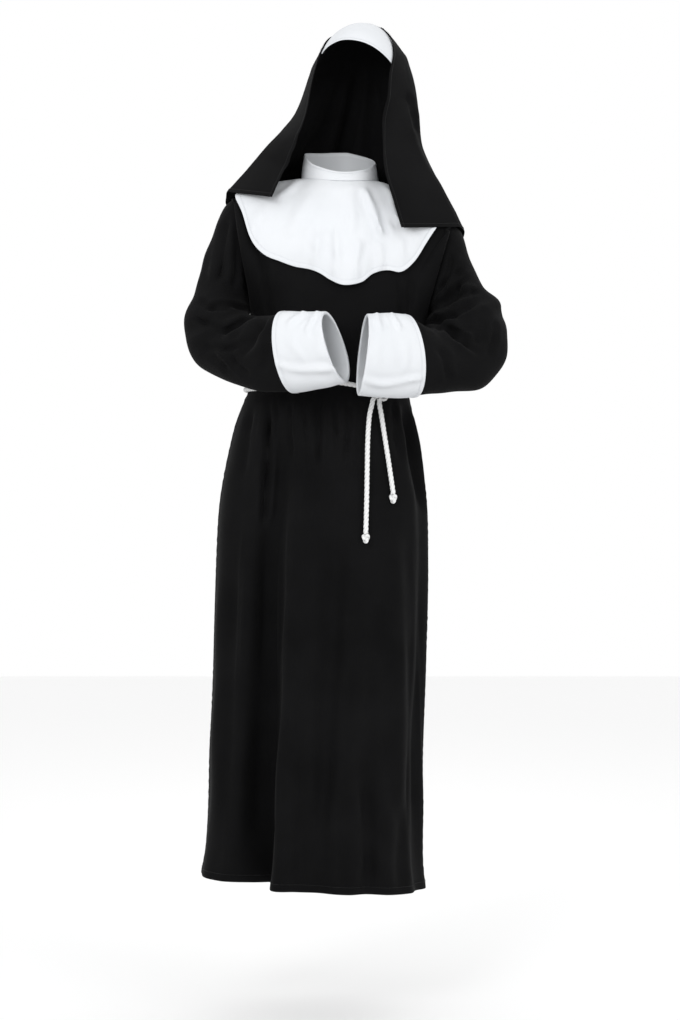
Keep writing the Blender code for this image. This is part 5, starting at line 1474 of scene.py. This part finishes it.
def ropeTree():
    tree, given = openTree("twistedRope", {
        "Rope Radius": belt["rope"] / 2, "Lay": ropeWork["lay"], "Strand Size": ropeWork["strandSize"],
        "Offset": ropeWork["strandOffset"], "Step": ropeWork["step"], "Whole Turns": 0.0}, "Cotton")

    def maths(operation, *terms):
        sockets = {i: term for i, term in enumerate(terms) if not isinstance(term, float)}
        made = node(tree, "ShaderNodeMath", sockets, operation=operation)
        for socket, term in zip(made.inputs, terms):
            if isinstance(term, float):
                socket.default_value = term
        return made.outputs[0]

    path = node(tree, "GeometryNodeResampleCurve", {"Curve": given["Geometry"], "Length": given["Step"]},
                mode="LENGTH")
    turns = node(tree, "GeometryNodeSplineParameter").outputs
    length = node(tree, "GeometryNodeSplineLength").outputs["Length"]
    # a loop takes whole turns, so that its strands meet; an open end takes its own length
    loose = maths("DIVIDE", turns["Length"], given["Lay"])
    whole = maths("MULTIPLY", turns["Factor"], maths("ROUND", maths("DIVIDE", length, given["Lay"])))
    isLoop = given["Whole Turns"]
    count = maths("ADD", maths("MULTIPLY", whole, isLoop),
                  maths("MULTIPLY", loose, maths("SUBTRACT", 1.0, isLoop)))
    circle = node(tree, "GeometryNodeCurvePrimitiveCircle",
                  {"Radius": maths("MULTIPLY", given["Rope Radius"], given["Strand Size"])},
                  Resolution=ropeWork["sides"])
    away = maths("MULTIPLY", given["Rope Radius"], given["Offset"])
    join = tree.nodes.new("GeometryNodeJoinGeometry")
    for strand in range(ropeWork["strands"]):
        turn = node(tree, "ShaderNodeVectorRotate", {
            "Vector": node(tree, "GeometryNodeInputNormal").outputs["Normal"],
            "Axis": node(tree, "GeometryNodeInputTangent").outputs["Tangent"],
            "Angle": maths("MULTIPLY", maths("ADD", count, strand / ropeWork["strands"]), math.tau)},
            rotation_type="AXIS_ANGLE")
        push = node(tree, "ShaderNodeVectorMath", operation="SCALE")
        tree.links.new(turn.outputs["Vector"], push.inputs[0])
        tree.links.new(away, push.inputs["Scale"])
        move = node(tree, "GeometryNodeSetPosition", {"Geometry": path.outputs["Curve"],
                                                      "Offset": push.outputs[0]})
        tube = node(tree, "GeometryNodeCurveToMesh", {"Curve": move.outputs["Geometry"],
                                                      "Profile Curve": circle.outputs["Curve"]})
        tube.inputs["Fill Caps"].default_value = True
        tree.links.new(tube.outputs["Mesh"], join.inputs["Geometry"])
    return closeTree(tree, join.outputs["Geometry"], given["Cotton"])


def fromNodes(name, source, tree, values):                  # runs a tree on an object and keeps a plain mesh
    modifier = source.modifiers.new("nodes", "NODES")
    modifier.node_group = tree
    for item in tree.interface.items_tree:
        if item.in_out == "INPUT" and item.name in values:
            modifier[item.identifier] = values[item.name]
    bpy.context.view_layer.update()
    ready = source.evaluated_get(bpy.context.evaluated_depsgraph_get())
    mesh = bpy.data.meshes.new_from_object(ready)
    mesh.name = name
    bpy.data.objects.remove(source, do_unlink=True)
    mesh.shade_smooth()
    piece = bpy.data.objects.new(name, mesh)
    bpy.context.scene.collection.objects.link(piece)
    return piece


def joined(name, pieces):
    if len(pieces) > 1:
        with bpy.context.temp_override(active_object=pieces[0], selected_editable_objects=pieces):
            bpy.ops.object.join()
    pieces[0].name = name
    return pieces[0]


def curveOf(points, loop=False):
    data = bpy.data.curves.new("path", "CURVE")
    data.dimensions = "3D"
    spline = data.splines.new("POLY")
    spline.points.add(len(points) - 1)
    for control, point in zip(spline.points, points):
        control.co = (*point, 1)
    spline.use_cyclic_u = loop
    made = bpy.data.objects.new("path", data)
    bpy.context.scene.collection.objects.link(made)
    return made


twist = ropeTree()


def ropePiece(name, points, loop=False, size=belt["rope"]):
    return fromNodes(name, curveOf(points, loop), twist, {
        "Rope Radius": size / 2, "Lay": ropeWork["lay"] * size / belt["rope"],
        "Strand Size": ropeWork["strandSize"], "Offset": ropeWork["strandOffset"], "Step": ropeWork["step"],
        "Whole Turns": 1.0 if loop else 0.0, "Cotton": rope})


def knotPath(centre, size, thick):              # an overhand knot drawn tight in its box
    half = Vector([extent - thick / 2 for extent in size])
    path = []
    start, count = ropeWork["knotStart"], ropeWork["knotPoints"]
    for i in range(count):
        t = math.tau * (start + (1 - 2 * start) * i / (count - 1))
        path.append(centre + Vector((half.x * (math.sin(t) + 2 * math.sin(2 * t)) / ropeWork["knotWide"],
                                     half.y * math.sin(3 * t),
                                     half.z * (math.cos(t) - 2 * math.cos(2 * t)) / ropeWork["knotHigh"])))
    return path


def robeFrontAt(x, z):
    low, high = -1.0, 1.0
    for _ in range(40):
        middle = (low + high) / 2
        low, high = (middle, high) if bodyPoint(front, middle, z).x < x else (low, middle)
    return bodyPoint(front, low, z)


def ropeRoute(route):
    rough = [Vector((x, robeFrontAt(x, z).y - belt["rope"] / 2 - ropeRests["ends"], z)) for x, z in route]
    return [through(rough, part) for part in spread(0, 1, ropeWork["pathPoints"])]


def beltLoop():
    around = []
    half = panelPlaces(robeCloth["finer"])
    for face, places in ((front, half), (back, half[::-1])):
        for place in places[1:]:
            x = bodyPoint(face, place, belt["height"]).x
            rise = belt["rise"] * bump((x - belt["riseAt"]) / belt["riseWidth"]) if face == front else 0
            height = belt["height"] + rise
            here = bodyPoint(face, place, height)
            angle = place * math.pi / 2
            level = readTable(levels, height)
            depth = level.front if face == front else level.back
            out = Vector((math.sin(angle) / level.halfWidth, face * math.cos(angle) / depth, 0)).normalized()
            around.append(here + out * (belt["rope"] / 2 + ropeRests["loop"]))
    return ropePiece("belt_loop_rope", around, True)


beltRope = beltLoop()
knotCentre = Vector((beltKnot["x"], robeFrontAt(beltKnot["x"], belt["height"]).y - belt["rope"]
                     - beltKnot["size"].y + ropeRests["knot"], beltKnot["z"]))
knotBow = [Vector((x, robeFrontAt(x, z).y - beltKnot["bowRope"] / 2 - ropeRests["bow"], z))
           for x, z in beltKnot["bow"]]
waistKnot = joined("belt_knot_rope", [
    ropePiece("belt_knot_rope", knotPath(knotCentre, beltKnot["size"], beltKnot["rope"]), size=beltKnot["rope"]),
    ropePiece("belt_knot_bow", [through(knotBow, part) for part in spread(0, 1, ropeWork["bowPoints"])],
              size=beltKnot["bowRope"])])
ropeEnds = {}
for side, route in (("long", longEnd), ("short", shortEnd)):
    path = ropeRoute(route)
    end = ropePiece("belt_end_" + side + "_rope", path + [path[-1] - Vector((0, 0, tipKnot["inside"]))])
    centre = path[-1] - Vector((0, 0, tipKnot["size"].z + cloth["seam"]))
    tip = ropePiece("belt_tip_" + side + "_rope", knotPath(centre, tipKnot["size"], tipKnot["rope"]),
                    size=tipKnot["rope"])
    ropeEnds[side] = (end, tip, path)
print("nun habit: rope belt twisted and knotted")


# stitches along the hems, laid by geometry nodes
stitch = {"length": 0.0024, "gap": 0.0034, "radius": 0.00022, "sides": 5, "inset": 0.0010, "rough": 0.6,
          "ply": 1500, "dark": 0.6}


def stitchTree():
    tree, given = openTree("hemStitches", {"Gap": stitch["gap"], "Length": stitch["length"],
                                           "Radius": stitch["radius"]}, "Thread")
    path = node(tree, "GeometryNodeResampleCurve", {"Curve": given["Geometry"], "Length": given["Gap"]},
                mode="LENGTH")
    points = node(tree, "GeometryNodeCurveToPoints", {"Curve": path.outputs["Curve"]}, mode="EVALUATED").outputs
    rod = node(tree, "GeometryNodeMeshCylinder", {"Radius": given["Radius"], "Depth": given["Length"]},
               Vertices=stitch["sides"])
    rod.inputs["Side Segments"].default_value = 1
    lay = node(tree, "GeometryNodeInstanceOnPoints", {
        "Points": points["Points"], "Instance": rod.outputs["Mesh"], "Rotation": points["Rotation"]})
    return closeTree(tree, lay.outputs["Instances"], given["Thread"])


def makeThread(name, colour):
    paint, tree, shader = openPaint(name, stitch["rough"])
    place = node(tree, "ShaderNodeTexCoord").outputs["Object"]
    ply = node(tree, "ShaderNodeTexNoise", {"Vector": place}, Scale=stitch["ply"], Detail=2).outputs["Fac"]
    toned(tree, shader, ply, ([value * stitch["dark"] for value in colour], colour))
    return paint


sewing = stitchTree()
blackThread = makeThread("black_thread", (0.012, 0.012, 0.013))
whiteThread = makeThread("white_thread", (0.74, 0.76, 0.79))


def stitches(name, net, closed, hem, ends, thread):
    lines = [hemLine(nets[net], closed, hem - stitch["inset"], end) for end in ends]
    return joined(name, [fromNodes(name, curveOf(line), sewing, {
        "Gap": stitch["gap"], "Length": stitch["length"], "Radius": stitch["radius"], "Thread": thread})
        for line in lines])


seams = {name: stitches(name, *facts) for name, *facts in [
    ("robe_front_stitches", "robeFront", False, robeCloth["hem"], ["foot"], blackThread),
    ("robe_back_stitches", "robeBack", False, robeCloth["hem"], ["foot"], blackThread),
    ("collar_stitches", "collar", True, collarCloth["hem"], ["foot"], whiteThread),
    ("neck_band_stitches", "neckBand", True, bandCloth["hem"], ["top"], whiteThread),
    ("headband_stitches", "headband", False, headCloth["hem"], ["top", "foot"], whiteThread),
    ("veil_stitches", "veil", False, veilCloth["hem"], ["foot", "left", "right"], blackThread),
    ("cuff_right_stitches", "cuffRight", True, cuffs["hem"], ["top"], whiteThread),
    ("cuff_left_stitches", "cuffLeft", True, cuffs["hem"], ["top"], whiteThread),
]}
print("nun habit: hems stitched")


# what each piece stands for, and the facts of its cloth or rope
standsFor = [
    (robeFront, "robe_front", "black_cloth"), (robeBack, "robe_back", "black_cloth"),
    (sleeveRight, "sleeve_right", "black_cloth"), (sleeveLeft, "sleeve_left", "black_cloth"),
    (capeCollar, "cape_collar", "white_cloth"), (neckBand, "neck_band", "white_cloth"),
    (browBand, "headband", "white_cloth"), (veilPiece, "veil", "black_cloth"),
    (cuffRight, "cuff_right", "white_cloth"), (cuffLeft, "cuff_left", "white_cloth"),
    (beltRope, "belt_loop", "rope"), (waistKnot, "belt_knot", "rope"),
    (ropeEnds["long"][0], "belt_end_long", "rope"), (ropeEnds["short"][0], "belt_end_short", "rope"),
    (ropeEnds["long"][1], "belt_tip_long", "rope"), (ropeEnds["short"][1], "belt_tip_short", "rope"),
]
for piece, name, finish in standsFor:
    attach(piece, "root")
    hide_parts(name)
for name, piece in seams.items():
    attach(piece, "root")

# lengths of the rope's two ends, in metres, with their pieces and paths; nothing more is done with them
for side, length in (("long", 0.250), ("short", 0.175)):
    end, tip, path = ropeEnds[side]
